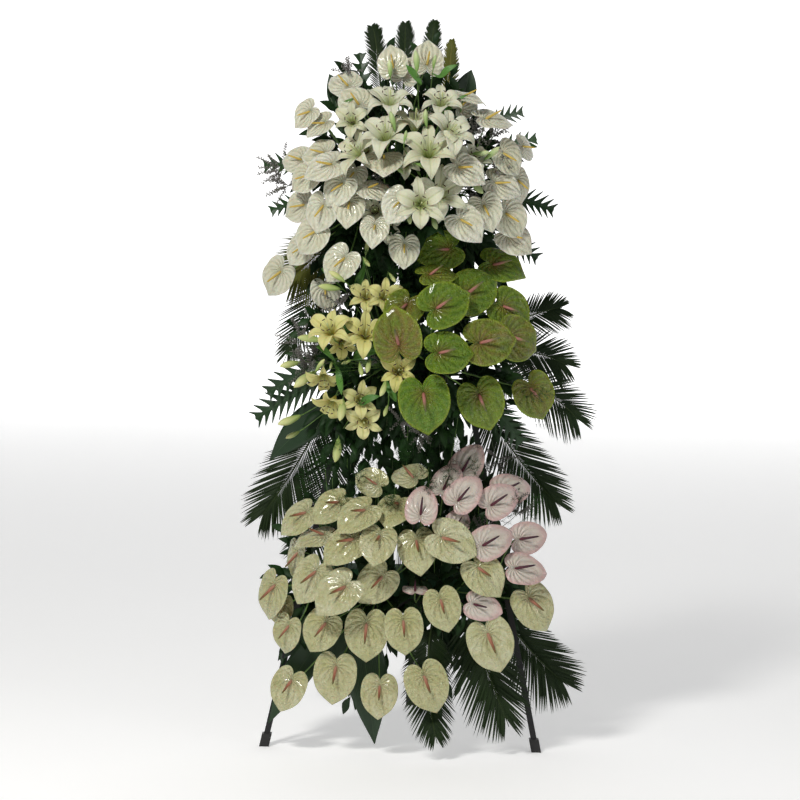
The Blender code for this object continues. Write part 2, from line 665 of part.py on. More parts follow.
def tube_rings(points, start_across, radii):
    # Three-sided rings along a route; the first direction is that of the first stretch.
    rings = []
    across = start_across
    way = (points[1] - points[0]).normalized()
    for i, spot in enumerate(points):
        before = (spot - points[i - 1]).normalized() if i else way
        after = (points[i + 1] - spot).normalized() if i + 1 < len(points) else before
        new_way = (before + after).normalized()
        across = turned(across, way, new_way)
        across = (across - new_way * across.dot(new_way)).normalized()
        way = new_way
        other = way.cross(across)
        rings.append([spot + (across * math.cos(turn) + other * math.sin(turn)) * radii[i]
                      for turn in SIDES])
    return rings


def add_rings(points, faces, rings):
    # Adds each ring after the last three points of the list, joins them and closes the end.
    start = len(points) - 3
    for ring in rings:
        points.extend(ring)
        for i in range(3):
            a, b = start + i, start + (i + 1) % 3
            faces += [(a, b, b + 3), (a, b + 3, a + 3)]
        start += 3
    faces.append((start, start + 1, start + 2))


def stem_points(flower, foot, depth, mouth):
    # From the back of a flower straight back a little, then to the mouth of its plug.
    knee = foot - flower.facing * depth
    return [knee, mouth]


def anthurium(flower, mouth, outline):
    # A cupped heart-shaped blade; the spadix rises from its front and the stem from its back.
    ring = list(outline) + [(-x, y) for x, y in reversed(outline[1:-1])]
    bearings = [math.degrees(math.atan2(x, y)) % 360 for x, y in ring]
    thickness = BLADE / flower.length
    core = [(NECK * math.sin(turn), NECK * math.cos(turn)) for turn in SIDES]
    points, faces = [], []
    for drop in (0.0, -thickness):
        start = len(points)
        points += [flower.at(x, y, drop - HEART_CUP * (x * x + y * y)) for x, y in ring]
        points += [flower.at(x, y, drop) for x, y in core]
        outer = [(start + i, bearings[i]) for i in range(len(ring))]
        inner = [(start + len(ring) + i, 120.0 * i) for i in range(3)]
        faces += zip_rings(outer, inner)
    size = len(ring) + 3
    for i in range(len(ring)):
        a, b = i, (i + 1) % len(ring)
        faces += [(a, b, b + size), (a, b + size, a + size)]
    add_spadix(flower, points, faces, len(ring))
    foot = flower.at(z=-thickness)
    add_stem(flower, points, faces, size + len(ring), [foot] + stem_points(flower, foot, 0.045, mouth))
    return points, faces


def add_spadix(flower, points, faces, first):
    # A three-sided spadix, thickest at its middle, from the three points that start at `first`.
    rise = math.radians(SPADIX_RISE)
    way = flower.tip * math.cos(rise) + flower.facing * math.sin(rise)
    spot = flower.at()
    long = SPADIX_LENGTH * flower.length
    width = max(SPADIX_MIN, SPADIX_WIDTH * flower.length)
    up = way.cross(flower.across)
    middle = spot + way * long * 0.55
    base = len(points)
    points += [middle + (flower.across * math.sin(turn) + up * math.cos(turn)) * width
               for turn in SIDES]
    points.append(spot + way * long)
    for i in range(3):
        a, b = first + i, first + (i + 1) % 3
        c, d = base + i, base + (i + 1) % 3
        faces += [(a, b, d), (a, d, c), (c, d, base + 3)]


def add_stem(flower, points, faces, first, route):
    # A stem along a route from the three points that start at `first`.
    start = points[first:first + 3]
    rings = tube_rings(route, flower.tip, [STEM] * len(route))[1:]
    order = match_order(start, rings[0])
    points += start
    joined = {len(points) - 3 + i: first + i for i in range(3)}
    fresh = []
    add_rings(points, fresh, [[ring[k] for k in order] for ring in rings])
    faces += [tuple(joined.get(k, k) for k in face) for face in fresh]


def match_order(start, ring):
    # The turn and sense in which a ring follows the start ring with the least twist.
    orders = [[(shift + sense * i) % 3 for i in range(3)] for sense in (1, -1) for shift in range(3)]
    return min(orders, key=lambda order: sum((start[i] - ring[k]).length for i, k in enumerate(order)))


def lily(flower, mouth):
    # A cup of six petals: an inner and an outer skin, each a cone and six bent petals that
    # share their tips.
    points, faces = [], []

    def petal_point(turn, radius, height):
        angle = math.radians(turn)
        points.append(flower.at(radius * math.cos(angle), radius * math.sin(angle), height))
        return len(points) - 1

    thickness = BLADE / flower.length
    tips = [petal_point(60 * i + 30, 0.53, -0.06) for i in range(6)]
    skins = []
    for widen, drop in ((0.0, 0.0), (thickness, -thickness)):
        throat = [petal_point(60 * i, 0.15 + widen, -0.16 + drop) for i in range(6)]
        sides = [petal_point(60 * i + 30 + swing, 0.35, 0.02 + drop) for i in range(6)
                 for swing in (-25, 25)]
        for i in range(6):
            a, b = throat[i], throat[(i + 1) % 6]
            left, right = sides[2 * i], sides[2 * i + 1]
            faces += [(a, b, right), (a, right, left), (left, right, tips[i])]
        skins.append((throat, sides))
    (throat_in, sides_in), (throat_out, sides_out) = skins
    for i in range(6):
        for k, near in ((2 * i, i), (2 * i + 1, (i + 1) % 6)):
            faces += [(throat_in[near], sides_in[k], sides_out[k]),
                      (throat_in[near], sides_out[k], throat_out[near]),
                      (sides_in[k], tips[i], sides_out[k])]
    deep = petal_point(0, 0.0, -0.36)
    for i in range(6):
        faces.append((throat_in[i], throat_in[(i + 1) % 6], deep))
    start = len(points)
    points += [flower.at(0.05 * math.sin(turn), 0.05 * math.cos(turn), -0.42) for turn in SIDES]
    outer = sorted(((throat_out[i], (30.0 - 60.0 * i) % 360) for i in range(6)), key=lambda item: item[1])
    faces += zip_rings(outer, [(start + i, 120.0 * i) for i in range(3)])
    foot = flower.at(z=-0.42)
    add_stem(flower, points, faces, start, [foot] + stem_points(flower, foot, 0.03, mouth))
    return points, faces


def bud(flower, mouth):
    way = (flower.tip * 0.94 + flower.facing * 0.34).normalized()
    middle = flower.at()
    foot = middle - way * flower.length * 0.5
    route = [middle + way * flower.length * 0.15, foot, foot - way * 0.012 + Vector((0, 0.02, 0)), mouth]
    rings = tube_rings(route, flower.across, [flower.length * 0.15, STEM * 1.2, STEM, STEM])
    points = [middle + way * flower.length * 0.5] + rings[0]
    faces = [(0, 1 + i, 1 + (i + 1) % 3) for i in range(3)]
    add_rings(points, faces, rings[1:])
    return points, faces


def make_bunch(name, material, face, flowers):
    # All the stems of a bunch meet in one plug, which stands in the foam.
    spot, way = face
    mouth = spot + way * MOUTH
    plug = square_plug(name, spot - way * PLUG_IN, spot + way * PLUG_OUT, PLUG_SIZE, material)
    parts = []
    for flower in flowers:
        if flower.kind == "anthurium":
            points, faces = anthurium(flower, mouth, OUTLINES.get(material, HEART))
        elif flower.kind == "lily":
            points, faces = lily(flower, mouth)
        else:
            points, faces = bud(flower, mouth)
        parts.append(make_object("flower", points, faces, material))
    return boolean(plug, parts, "UNION", "MANIFOLD")


# Greenery

def strip(sections, tip, lobes):
    # A closed strip of oblong sections, each (spot, across, facing, half width, half depth),
    # that ends in a point. `lobes` gives, for a stretch and a side, the point of a leaflet
    # that grows there: side 1 is the strip's left edge and side 3 its right one.
    points, faces = [], [(0, 1, 2), (0, 2, 3)]
    for spot, across, facing, wide, deep in sections:
        points += [spot + across * wide + facing * deep, spot - across * wide + facing * deep,
                   spot - across * wide - facing * deep, spot + across * wide - facing * deep]
    for k in range(len(sections) - 1):
        for i in range(4):
            a, b = 4 * k + i, 4 * k + (i + 1) % 4
            point = lobes.get((k, i))
            if point is None:
                faces += [(a, b, b + 4), (a, b + 4, a + 4)]
            else:
                points.append(point)
                new = len(points) - 1
                faces += [(a, b, new), (b, b + 4, new), (b + 4, a + 4, new), (a + 4, a, new)]
    end = 4 * (len(sections) - 1)
    points.append(tip)
    new = len(points) - 1
    faces += [(end + i, end + (i + 1) % 4, new) for i in range(4)]
    return points, faces


def curve(start, middle, end, share):
    return start * (1 - share) ** 2 + middle * 2 * share * (1 - share) + end * share ** 2


def directions(route, share, look):
    # The spot, across and facing directions on a curve; `look` is the way its face looks.
    here = curve(*route, share)
    ahead = (curve(*route, share + 0.01) - here).normalized()
    facing = (look - ahead * look.dot(ahead)).normalized()
    return here, ahead.cross(facing), facing, ahead


def square_frame(way, across):
    # The square directions round a plug that lie nearest to a strip's own.
    choices = [Vector(v) for v in ((1, 0, 0), (-1, 0, 0), (0, 1, 0), (0, -1, 0), (0, 0, 1), (0, 0, -1))]
    side = max((v for v in choices if abs(v.dot(way)) < 0.5), key=lambda v: v.dot(across))
    return side, side.cross(way)


def make_frond(name, row):
    # The rachis starts as a square peg in the foam; each leaflet grows from its edge.
    tier, face, offset, middle, tip, longest, pairs = row
    spot, way = face_spot(tier, face, offset)
    start = spot + way * PLUG_OUT
    middle = place(*(value / 100 for value in middle))
    tip = place(*(value / 100 for value in tip))
    route = (start, middle * 2 - (start + tip) / 2, tip)
    rng = random.Random(name)
    first = directions(route, 0.0, FROND_LOOK)
    side, facing = square_frame(way, first[1])
    sections = [(spot - way * PLUG_IN, side, facing, FROND_PLUG / 2, FROND_PLUG / 2),
                (start, side, facing, FROND_PLUG / 2, FROND_PLUG / 2)]
    lobes = {}
    for k in range(pairs + 1):
        share = FROND_BARE + (0.97 - FROND_BARE) * k / pairs
        here, across, facing, ahead = directions(route, share, FROND_LOOK)
        taper = 1.0 - 0.6 * k / pairs
        sections.append((here, across, facing, RACHIS * taper, RACHIS * 0.6 * taper))
        if k == pairs:
            break
        swell = 0.35 + 0.65 * math.sin(math.pi * (0.15 + 0.72 * k / (pairs - 1)))
        for edge, sign in ((1, -1), (3, 1)):
            swept = math.radians(58 - 26 * k / pairs + rng.uniform(-3, 3))
            reach = longest / 100 * swell * rng.uniform(0.93, 1.05)
            way_out = across * sign * math.sin(swept) + ahead * math.cos(swept)
            lobes[(k + 2, edge)] = here + (way_out + LEAFLET_DROOP) * reach
    points, faces = strip(sections, tip, lobes)
    make_object(name, points, faces, "palm")


def broad_leaf(foot, tip, width, lobes, mouth):
    # A petiole from the plug and an arched blade; lobes cut the blade's edges.
    bend = (foot + tip) / 2 + LEAF_ARCH * (tip - foot).length
    route = (foot, bend, tip)
    half = width / 200
    along = (foot - mouth).normalized()
    _, across, facing, _ = directions(route, 0.0, LEAF_LOOK)
    side = (across - along * across.dot(along)).normalized()
    sections = [(mouth, side, side.cross(along), STEM, STEM), (foot, across, facing, STEM, STEM * 0.8)]
    points_out = {}
    if lobes:
        for k in range(lobes + 1):
            share = 0.06 + 0.82 * k / lobes
            here, across, facing, ahead = directions(route, share, LEAF_LOOK)
            body = half * (0.42 - 0.30 * k / lobes)
            sections.append((here, across, facing, body, LEAF_DEEP / 2))
            if k == lobes:
                break
            swell = math.sin(math.pi * (0.26 + 0.58 * k / (lobes - 1)))
            for edge, sign in ((1, -1), (3, 1)):
                way_out = across * sign * half * swell + ahead * half * 0.75 + facing * half * 0.12
                points_out[(k + 2, edge)] = here + way_out
    else:
        for share, wide in ((0.22, 0.80), (0.48, 1.0), (0.76, 0.62)):
            here, across, facing, _ = directions(route, share, LEAF_LOOK)
            sections.append((here, across, facing, half * wide, LEAF_DEEP / 2))
    points, faces = strip(sections, tip, points_out)
    return make_object("blade", points, faces, "leaf")


def make_leaves(name, row):
    tier, face, offset, leaves = row
    spot, way = face_spot(tier, face, offset)
    mouth = spot + way * MOUTH
    plug = square_plug(name, spot - way * PLUG_IN, spot + way * PLUG_OUT, PLUG_SIZE, "leaf")
    parts = []
    for foot, tip, width, lobes in leaves:
        foot = place(*(value / 100 for value in foot))
        tip = place(*(value / 100 for value in tip))
        parts.append(broad_leaf(foot, tip, width, lobes, mouth))
    return boolean(plug, parts, "UNION", "MANIFOLD")


def gather_flowers():
    flowers = []
    for group, (_, tier, _, _, rows) in ANTHURIUMS.items():
        flowers += [Flower(group, "anthurium", tier, row) for row in rows]
    for group, (_, tier, _, _, opened, buds) in LILIES.items():
        flowers += [Flower(group, "lily", tier, row) for row in opened]
        flowers += [Flower(group, "bud", tier, row) for row in buds]
    settle(flowers)
    return flowers


def main():
    clear_scene()
    for name, side in (("front_left", -1), ("front_right", 1), ("rear", 0)):
        make_leg("leg_" + name, side)
        make_foot_cap("foot_cap_" + name, side)
    make_apex_plate()
    flowers = gather_flowers()
    plugs = {tier: [] for tier in TIERS}
    for table in (ANTHURIUMS, LILIES):
        for group, row in table.items():
            face = face_spot(row[1], row[2], row[3])
            plugs[row[1]].append((*face, PLUG_SIZE))
            make_bunch(group, row[0], face, [f for f in flowers if f.group == group])
    for name, row in FRONDS.items():
        plugs[row[0]].append((*face_spot(row[0], row[1], row[2]), FROND_PLUG))
        make_frond(name, row)
    for name, row in LEAVES.items():
        plugs[row[0]].append((*face_spot(row[0], row[1], row[2]), PLUG_SIZE))
        make_leaves(name, row)
    for tier in TIERS:
        make_shelf("shelf_" + tier, tier)
        make_tray("tray_" + tier, tier)
        make_foam("foam_" + tier, tier, plugs[tier])


main()
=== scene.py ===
# A three-tier funeral spray on a black steel easel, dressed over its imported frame
# The flower tables are in centimetres (side, up) on the easel's front elevation, and degrees.

import math
import random

import bpy
import numpy as np
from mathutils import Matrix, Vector


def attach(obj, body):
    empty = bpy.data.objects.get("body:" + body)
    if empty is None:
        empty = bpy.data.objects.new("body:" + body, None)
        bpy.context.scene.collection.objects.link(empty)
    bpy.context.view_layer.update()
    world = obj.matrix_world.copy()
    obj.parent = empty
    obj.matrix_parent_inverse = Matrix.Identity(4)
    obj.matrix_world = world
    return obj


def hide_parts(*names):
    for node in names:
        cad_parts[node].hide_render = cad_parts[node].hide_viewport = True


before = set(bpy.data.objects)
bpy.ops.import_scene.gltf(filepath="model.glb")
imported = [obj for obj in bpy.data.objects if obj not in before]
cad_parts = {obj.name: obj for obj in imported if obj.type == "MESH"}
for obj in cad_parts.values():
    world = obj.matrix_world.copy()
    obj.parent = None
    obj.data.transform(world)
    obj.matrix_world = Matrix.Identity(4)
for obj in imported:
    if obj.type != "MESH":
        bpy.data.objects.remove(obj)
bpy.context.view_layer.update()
print("frame loaded")

eye = Vector((0.0, -7.0, 1.4))
easelMiddle = Vector((-0.032, 0.0, 0.0))   # the easel's own middle plane

fullTurn = 6.28                            # phases and turns are drawn up to this
leafTurn = 2.4                             # from one leaf to the next round a twig
sunk = 0.012                               # how far a twig goes into the foam
veinBend = {"share": 0.26, "power": 1.3}   # how a spathe's veins bend to its tip, in mesh and paint

# shelf height, foam block (width, depth, height), foam front, and the dome of flowers over it
# (middle side, middle up, reach sideways, reach upwards, out at the middle)
tiers = {
    "low": {"shelf": 0.372, "foam": (0.40, 0.12, 0.10), "front": -0.19,
            "dome": (-0.01, 0.42, 0.50, 0.40, 0.33)},
    "middle": {"shelf": 0.975, "foam": (0.22, 0.12, 0.10), "front": -0.15,
               "dome": (0.0, 1.03, 0.44, 0.36, 0.31)},
    "top": {"shelf": 1.370, "foam": (0.20, 0.11, 0.16), "front": -0.165,
            "dome": (-0.01, 1.52, 0.40, 0.40, 0.31)},
}

# half of a blade from its point to its cleft, the whole blade about 1 long
heart = ((0.0, 0.74), (0.25, 0.50), (0.44, 0.14), (0.40, -0.16), (0.16, -0.27), (0.0, -0.11))

# group: slot, tier, foam face, spot on the face, then each bloom
# (side, up, layer, length, aim of the point, yaw, pitch)
anthuriums = {
    "white_left_high": ("white_spathe", "top", "left", (-3.5, 5.0), [
        (-28, 168, 1, 8.5, 210, -35, 20), (-24, 165, 0, 8.5, 200, -30, 35),
        (-30, 155, 0, 9, 165, -25, 25), (-24, 157, 1, 9.5, 175, -25, 30),
        (-22, 154, 3, 11, 200, -15, 40), (-28, 151, 1, 9, 205, -30, 15),
        (-16, 152, -1, 8.5, 250, -5, 20), (-19, 149, 3, 10, 230, -20, 10),
    ]),
    "white_left_low": ("white_spathe", "top", "left", (-3.5, -3.5), [
        (-29, 143, 0, 9.5, 195, -30, 15), (-24, 143, 1, 10.5, 250, -25, 5),
        (-26, 136, 2, 10.5, 225, -25, 10), (-29, 132, 0, 9, 225, -25, 10),
        (-35, 125, 2, 11, 228, -30, 5), (-10, 138, 3, 8.5, 265, 0, 30),
        (-18, 129, 3, 10.5, 235, -10, 15), (-23, 121, 0, 9, 280, -5, 0),
    ]),
    "white_crown": ("white_spathe", "top", "top", (-3.0, -3.0), [
        (-18, 175, 0, 9.5, 135, -15, 35), (-15, 170, 2, 10, 130, -5, 30), (-6, 180, 1, 9, 100, -5, 10),
        (3, 181, 0, 9.5, 85, 10, 10), (-3, 178, -1, 8.5, 70, 0, 20),
    ]),
    "white_front_left": ("white_spathe", "top", "front", (-7.5, 2.5), [
        (-12, 148, 0, 10, 300, 0, 60), (-8, 156, 3, 11, 270, 0, 60), (-17, 144, 1, 9.5, 265, 0, 25),
    ]),
    "white_front_low": ("white_spathe", "top", "front", (-1.4, -4.6), [
        (-3, 145, 2, 10, 240, -10, 15), (-2, 133, 1, 9, 270, 0, 20),
    ]),
    "white_right_high": ("white_spathe", "top", "right", (-3.0, 4.6), [
        (19, 167, 1, 11, 30, 20, 60), (13, 173, 0, 9, 20, 25, 65), (12, 170, -1, 8.5, 40, 15, 30),
        (24, 158, 0, 10, 320, 30, 10), (29, 160, -1, 8, 0, 50, 20),
    ]),
    "white_right_low": ("white_spathe", "top", "right", (-3.4, -3.6), [
        (12, 154, 3, 11, 330, 10, 35), (22, 150, 1, 10.5, 345, 15, 30), (28, 151, -1, 9.5, 300, 55, 10),
        (19, 144, 2, 10, 290, 5, 10), (25, 142, 0, 11, 315, 25, 10), (13, 140, 3, 10.5, 315, 5, 20),
        (26, 136, 1, 10.5, 330, 15, 25),
    ]),
    "green_upper": ("green_spathe", "middle", "top", (5.0, 0.5), [
        (10, 132, 2, 11.7, 200, 0, 20), (22, 128, 1, 12.6, 350, 10, 45), (5, 125, 0, 10.8, 25, 0, 55),
        (15, 120, 2, 13.5, 35, 5, 20), (25, 117, 1, 12.6, 330, 20, 15),
    ]),
    "green_centre": ("green_spathe", "middle", "front", (4.1, 2.7), [
        (-1, 117, 1, 11.7, 250, -10, 30), (7, 116, 4, 13.5, 30, 0, 15), (8, 104, 5, 12.6, 5, 5, 20),
        (19, 107, 4.7, 13.5, 10, 5, 15), (27, 109, 1, 13.1, 340, 25, 5),
    ]),
    "green_lower": ("green_spathe", "middle", "front", (6.0, -1.0), [
        (-3, 106, 2, 14, 100, -5, -5), (4, 93, 4, 14.8, 278, 0, 5), (19, 93, 2, 13.5, 290, 5, 5),
        (33, 95, 1, 12.6, 300, 20, 5),
    ]),
    "cream_upper": ("cream_spathe", "low", "top", (-8.0, -3.0), [
        (-8, 68, 0, 9.5, 150, -10, 20), (2, 70, 0, 11, 125, -20, 55), (-2, 63, 1, 12.5, 260, 0, 60),
        (-11, 61, 2, 12.5, 230, -10, 45), (-18, 63, 0, 12, 230, -15, 45),
        (-27, 60, 0, 12, 225, -25, 35),
    ]),
    "cream_left": ("cream_spathe", "low", "left", (-3.9, 1.6), [
        (-22, 54, 0, 11.5, 200, -20, 65), (-14, 53, 2, 13.5, 225, -15, 40),
        (-29, 49, -1, 12.5, 260, -60, 5), (-24, 44, 1, 13.5, 240, -25, 20),
        (-35, 40, 1, 13.5, 245, -45, 10), (-33, 35, -1, 9, 265, -30, 10), (-31, 29, 0, 11, 250, -35, 5),
    ]),
    "cream_middle": ("cream_spathe", "low", "front", (-4.0, 2.5), [
        (-7, 54, 3, 12, 265, -5, 45), (3, 53, 2, 12.5, 278, 0, 25), (10, 54, 4, 14, 335, 5, 20),
        (-16, 40, 3, 14, 225, -10, 25), (-6, 43, 2, 12.5, 230, 0, 10),
    ]),
    "cream_right": ("cream_spathe", "low", "front", (13.0, 0.0), [
        (20, 46, 2, 13, 310, 10, 20), (10, 37, 3, 12, 285, 0, 10), (23, 28, 4, 15, 290, 5, 5),
        (34, 38, 2, 14, 305, 20, 15),
    ]),
    "cream_low": ("cream_spathe", "low", "front", (-7.0, -0.5), [
        (-21, 30, 3, 12.5, 240, -15, 5), (-10, 30, 3, 14, 270, -5, 5), (0, 31, 4, 12.5, 275, 0, 5),
        (-30, 14, 6.5, 12, 250, -15, 15), (-18, 18, 4, 14, 265, -5, 5), (-6, 13, 5, 12, 268, 0, 15),
        (6, 16, 6, 14, 290, 0, 10),
    ]),
    "blush_upper": ("blush_spathe", "low", "top", (8.0, -5.0), [
        (4, 60, 2, 11.5, 85, 0, 25), (10, 67, -1, 11, 65, 0, 20), (15, 72, 0, 12, 60, 0, 20),
        (14, 64, 3, 12, 50, 5, 20), (13, 56, 1, 9.5, 60, 15, 20), (3, 39, 1, 9, 90, 0, 75),
    ]),
    "blush_right": ("blush_spathe", "low", "right", (-4.0, 1.5), [
        (26, 67, -1, 12.5, 25, 20, 30), (23, 63, 2, 12.5, 35, 15, 20), (21, 52, 3, 12.5, 30, 10, 20),
        (31, 54, 0, 12, 10, 25, 10), (30, 46, 3, 12.5, 5, 20, 30), (19, 36, 3, 10.5, 345, 5, 10),
    ]),
}

# open flowers (side, up, layer, petal length, yaw, pitch), then buds (side, up, layer, length, aim)
lilies = {
    "lily_white_crown": ("white_lily", "top", "top", (2.5, -3.5), [
        (-7, 172, 3, 11, 0, 55), (0, 167, 3, 11, 5, 75), (7, 172, 3, 10, 0, 50),
    ], [
        (0, 182, 5, 5.5, 95), (5, 182, 3, 3.5, 80), (-7, 180, 3, 4.5, 95),
    ]),
    "lily_white_left": ("white_lily", "top", "front", (-5.0, 5.5), [
        (-8, 163, 3, 12, -10, 45), (-17, 166, 4, 8, -10, 20),
        (-16, 158, 3, 11, -45, 30), (-13, 158, 0, 7, -10, 10),
    ], [
        (-6, 166, 5, 5, 105), (-4, 153, 2, 3.5, -50),
    ]),
    "lily_white_centre": ("white_lily", "top", "front", (2.5, 4.0), [
        (4, 159, 6, 13, 0, 35), (10, 164, 4, 11, 25, 30),
        (-2, 155, 1, 7, 0, 20), (16, 157, 2, 9, 30, 40),
    ], [
        (3, 167, 6, 4.5, 95), (0, 159, 5, 3.5, 95), (-2.5, 162, 8, 3, 80),
        (3, 154, 5, 5, -25),
        (18, 158, 3, 4.5, 0), (21, 158, 3, 5, 40),
    ]),
    "lily_white_low": ("white_lily", "top", "front", (4.0, -1.5), [
        (7, 147, 4, 12, 5, 15), (2, 144, 4, 11, 0, 5),
    ], [
        (17, 149, 4, 6, -55),
        (6, 139, 4, 4.5, -75), (-1, 140, 4, 4, -80),
    ]),
    "lily_white_shade": ("white_lily", "top", "front", (-5.0, -4.6), [
        (-6.7, 138, -3, 7.6, 0, 0), (-10, 142, -3, 6.5, -10, 10),
    ], []),
    "lily_yellow_upper": ("yellow_lily", "middle", "front", (-6.0, 2.8), [
        (-22, 110, 2, 10, -20, 35), (-12, 109, 3, 10, 0, 25), (-12, 119, 1, 8, 0, 20),
        (-7, 119, 1, 8, 5, 15), (-18, 106, 1, 7.5, 10, -10),
    ], [
        (-12, 132, 2, 4, 80), (-12, 128, 2, 3.5, -60), (-20, 124, 5, 5, 150),
        (-22, 121, 3, 6, 180), (-5, 124, 2, 3.5, -60), (-27, 107, 3, 6.5, 180),
    ]),
    "lily_yellow_lower": ("yellow_lily", "middle", "front", (-6.0, -1.5), [
        (-3, 99, 3, 8.5, 0, 10), (-23, 96, 1, 8, 0, -50), (-21, 89, 1, 8.5, -30, -45),
        (-13, 91, 1, 8, 0, 10), (-12, 85, 1, 8.5, 0, -10),
    ], [
        (-32, 100, 0, 6, 200), (-24, 100, 2, 4, 55), (-28, 96, 1, 8, 225),
        (-21, 100, 1, 2.5, 260), (-17, 101, 2, 3, 210), (-13, 99, 3, 4.2, 280),
        (-11, 100, 3, 4.5, 260), (-7, 94, 4, 5, 255), (-18, 88, 3, 7, 265),
        (-6, 88, 3, 3.6, 255), (-32, 85, 1, 7, 210), (-31, 81, 0, 4.5, 215),
        (-19, 77, 2, 7.5, 265),
    ]),
}

# tier, face, spot on the face, (side, up, out) of the rachis's middle and tip, longest leaflet, pairs
fronds = {
    "frond_top_1": ("top", "top", (-7.5, 4.6), (-10, 182, 4), (-12, 191, 0), 5.5, 12),
    "frond_top_2": ("top", "top", (-3.5, 2.6), (-3, 182, 9), (-3, 192, 7), 5.5, 12),
    "frond_top_3": ("top", "top", (3.0, 4.6), (4, 182, 4), (5, 193, 0), 5.5, 12),
    "frond_top_4": ("top", "top", (7.0, 2.6), (9, 178, 8), (9.5, 188, 6), 4.5, 12),
    "frond_left_1": ("top", "left", (0.5, -4.6), (-22, 133, 9), (-33, 122, 9), 11, 12),
    "frond_left_2": ("top", "left", (4.0, -4.6), (-24, 122, 1), (-34, 100, 1), 10, 12),
    "frond_left_3": ("middle", "left", (4.2, 1.4), (-28, 76, 2), (-39.5, 58, 4), 13, 16),
    "frond_left_4": ("middle", "left", (4.2, -1.7), (-21, 70, -1), (-29, 41, 2), 12, 14),
    "frond_right_1": ("middle", "right", (2.9, 3.6), (31, 114, 5), (41, 117, 3), 9, 12),
    "frond_right_2": ("middle", "right", (4.6, 1.5), (31, 105, 1), (43.5, 101, -1), 11, 12),
    "frond_right_3": ("middle", "right", (2.9, -0.6), (35, 95, 6), (46.5, 86, 6), 11, 12),
    "frond_right_4": ("middle", "right", (4.6, -1.8), (28, 79, 3), (42, 63, 3), 13, 16),
    "frond_right_5": ("low", "right", (4.2, 0.0), (32, 27, 7), (45.5, 14, 5), 14, 16),
    "frond_low_1": ("low", "front", (9.0, -1.7), (7, 18, 28), (10, -2.5, 36), 9.5, 16),
    "frond_low_2": ("low", "front", (16.8, -1.7), (21, 24, 25), (29.5, 2.5, 28), 14, 16),
}

# (side, up, out) of the blade's foot and tip, width, lobes on a side
leaves = {
    "leaves_top_left": ("top", "left", (3.5, 1.5), [
        ((-18, 166, 1), (-23, 178, 1), 6, 0), ((-27, 153, 1), (-40, 153, 3), 7, 3),
        ((-27, 144, 1), (-38, 141, 3), 6, 3), ((-13, 164, 2), (-15, 184, 1), 6, 3),
    ]),
    "leaves_top_right": ("top", "right", (3.5, 1.5), [
        ((12, 168, 1), (15, 180, 1), 6, 0), ((19, 165, 2), (29, 169, 3), 6, 3),
        ((20, 157, 2), (33, 162, 3), 6, 3), ((23, 146, 2), (38, 143, 3), 8, 4),
        ((20, 136, 2), (34, 130, 3), 8, 4),
    ]),
    "leaves_middle_left": ("middle", "left", (-4.3, -1.0), [
        ((-19, 102, 13), (-38, 92, 11), 9, 4), ((-20, 97, 12), (-41, 85, 9), 10, 5),
        ((-18, 91, 12), (-37, 74, 9), 9, 0),
    ]),
    "leaves_middle_right": ("middle", "right", (-4.3, -1.7), [
        ((19, 93, 13), (31, 80, 12), 9, 4), ((23, 101, 12), (32, 93, 11), 8, 4),
    ]),
    "leaves_low": ("low", "front", (-14.0, -1.7), [
        ((-19, 30, 21.5), (-36, 2, 22), 8, 0), ((-21, 33, 21.5), (-32, 20, 20), 6, 0),
        ((-12, 31, 20.3), (-7, -3, 22), 11, 0), ((-15, 32, 21.5), (-20, 18, 21), 7, 0),
    ]),
}

# Shaders

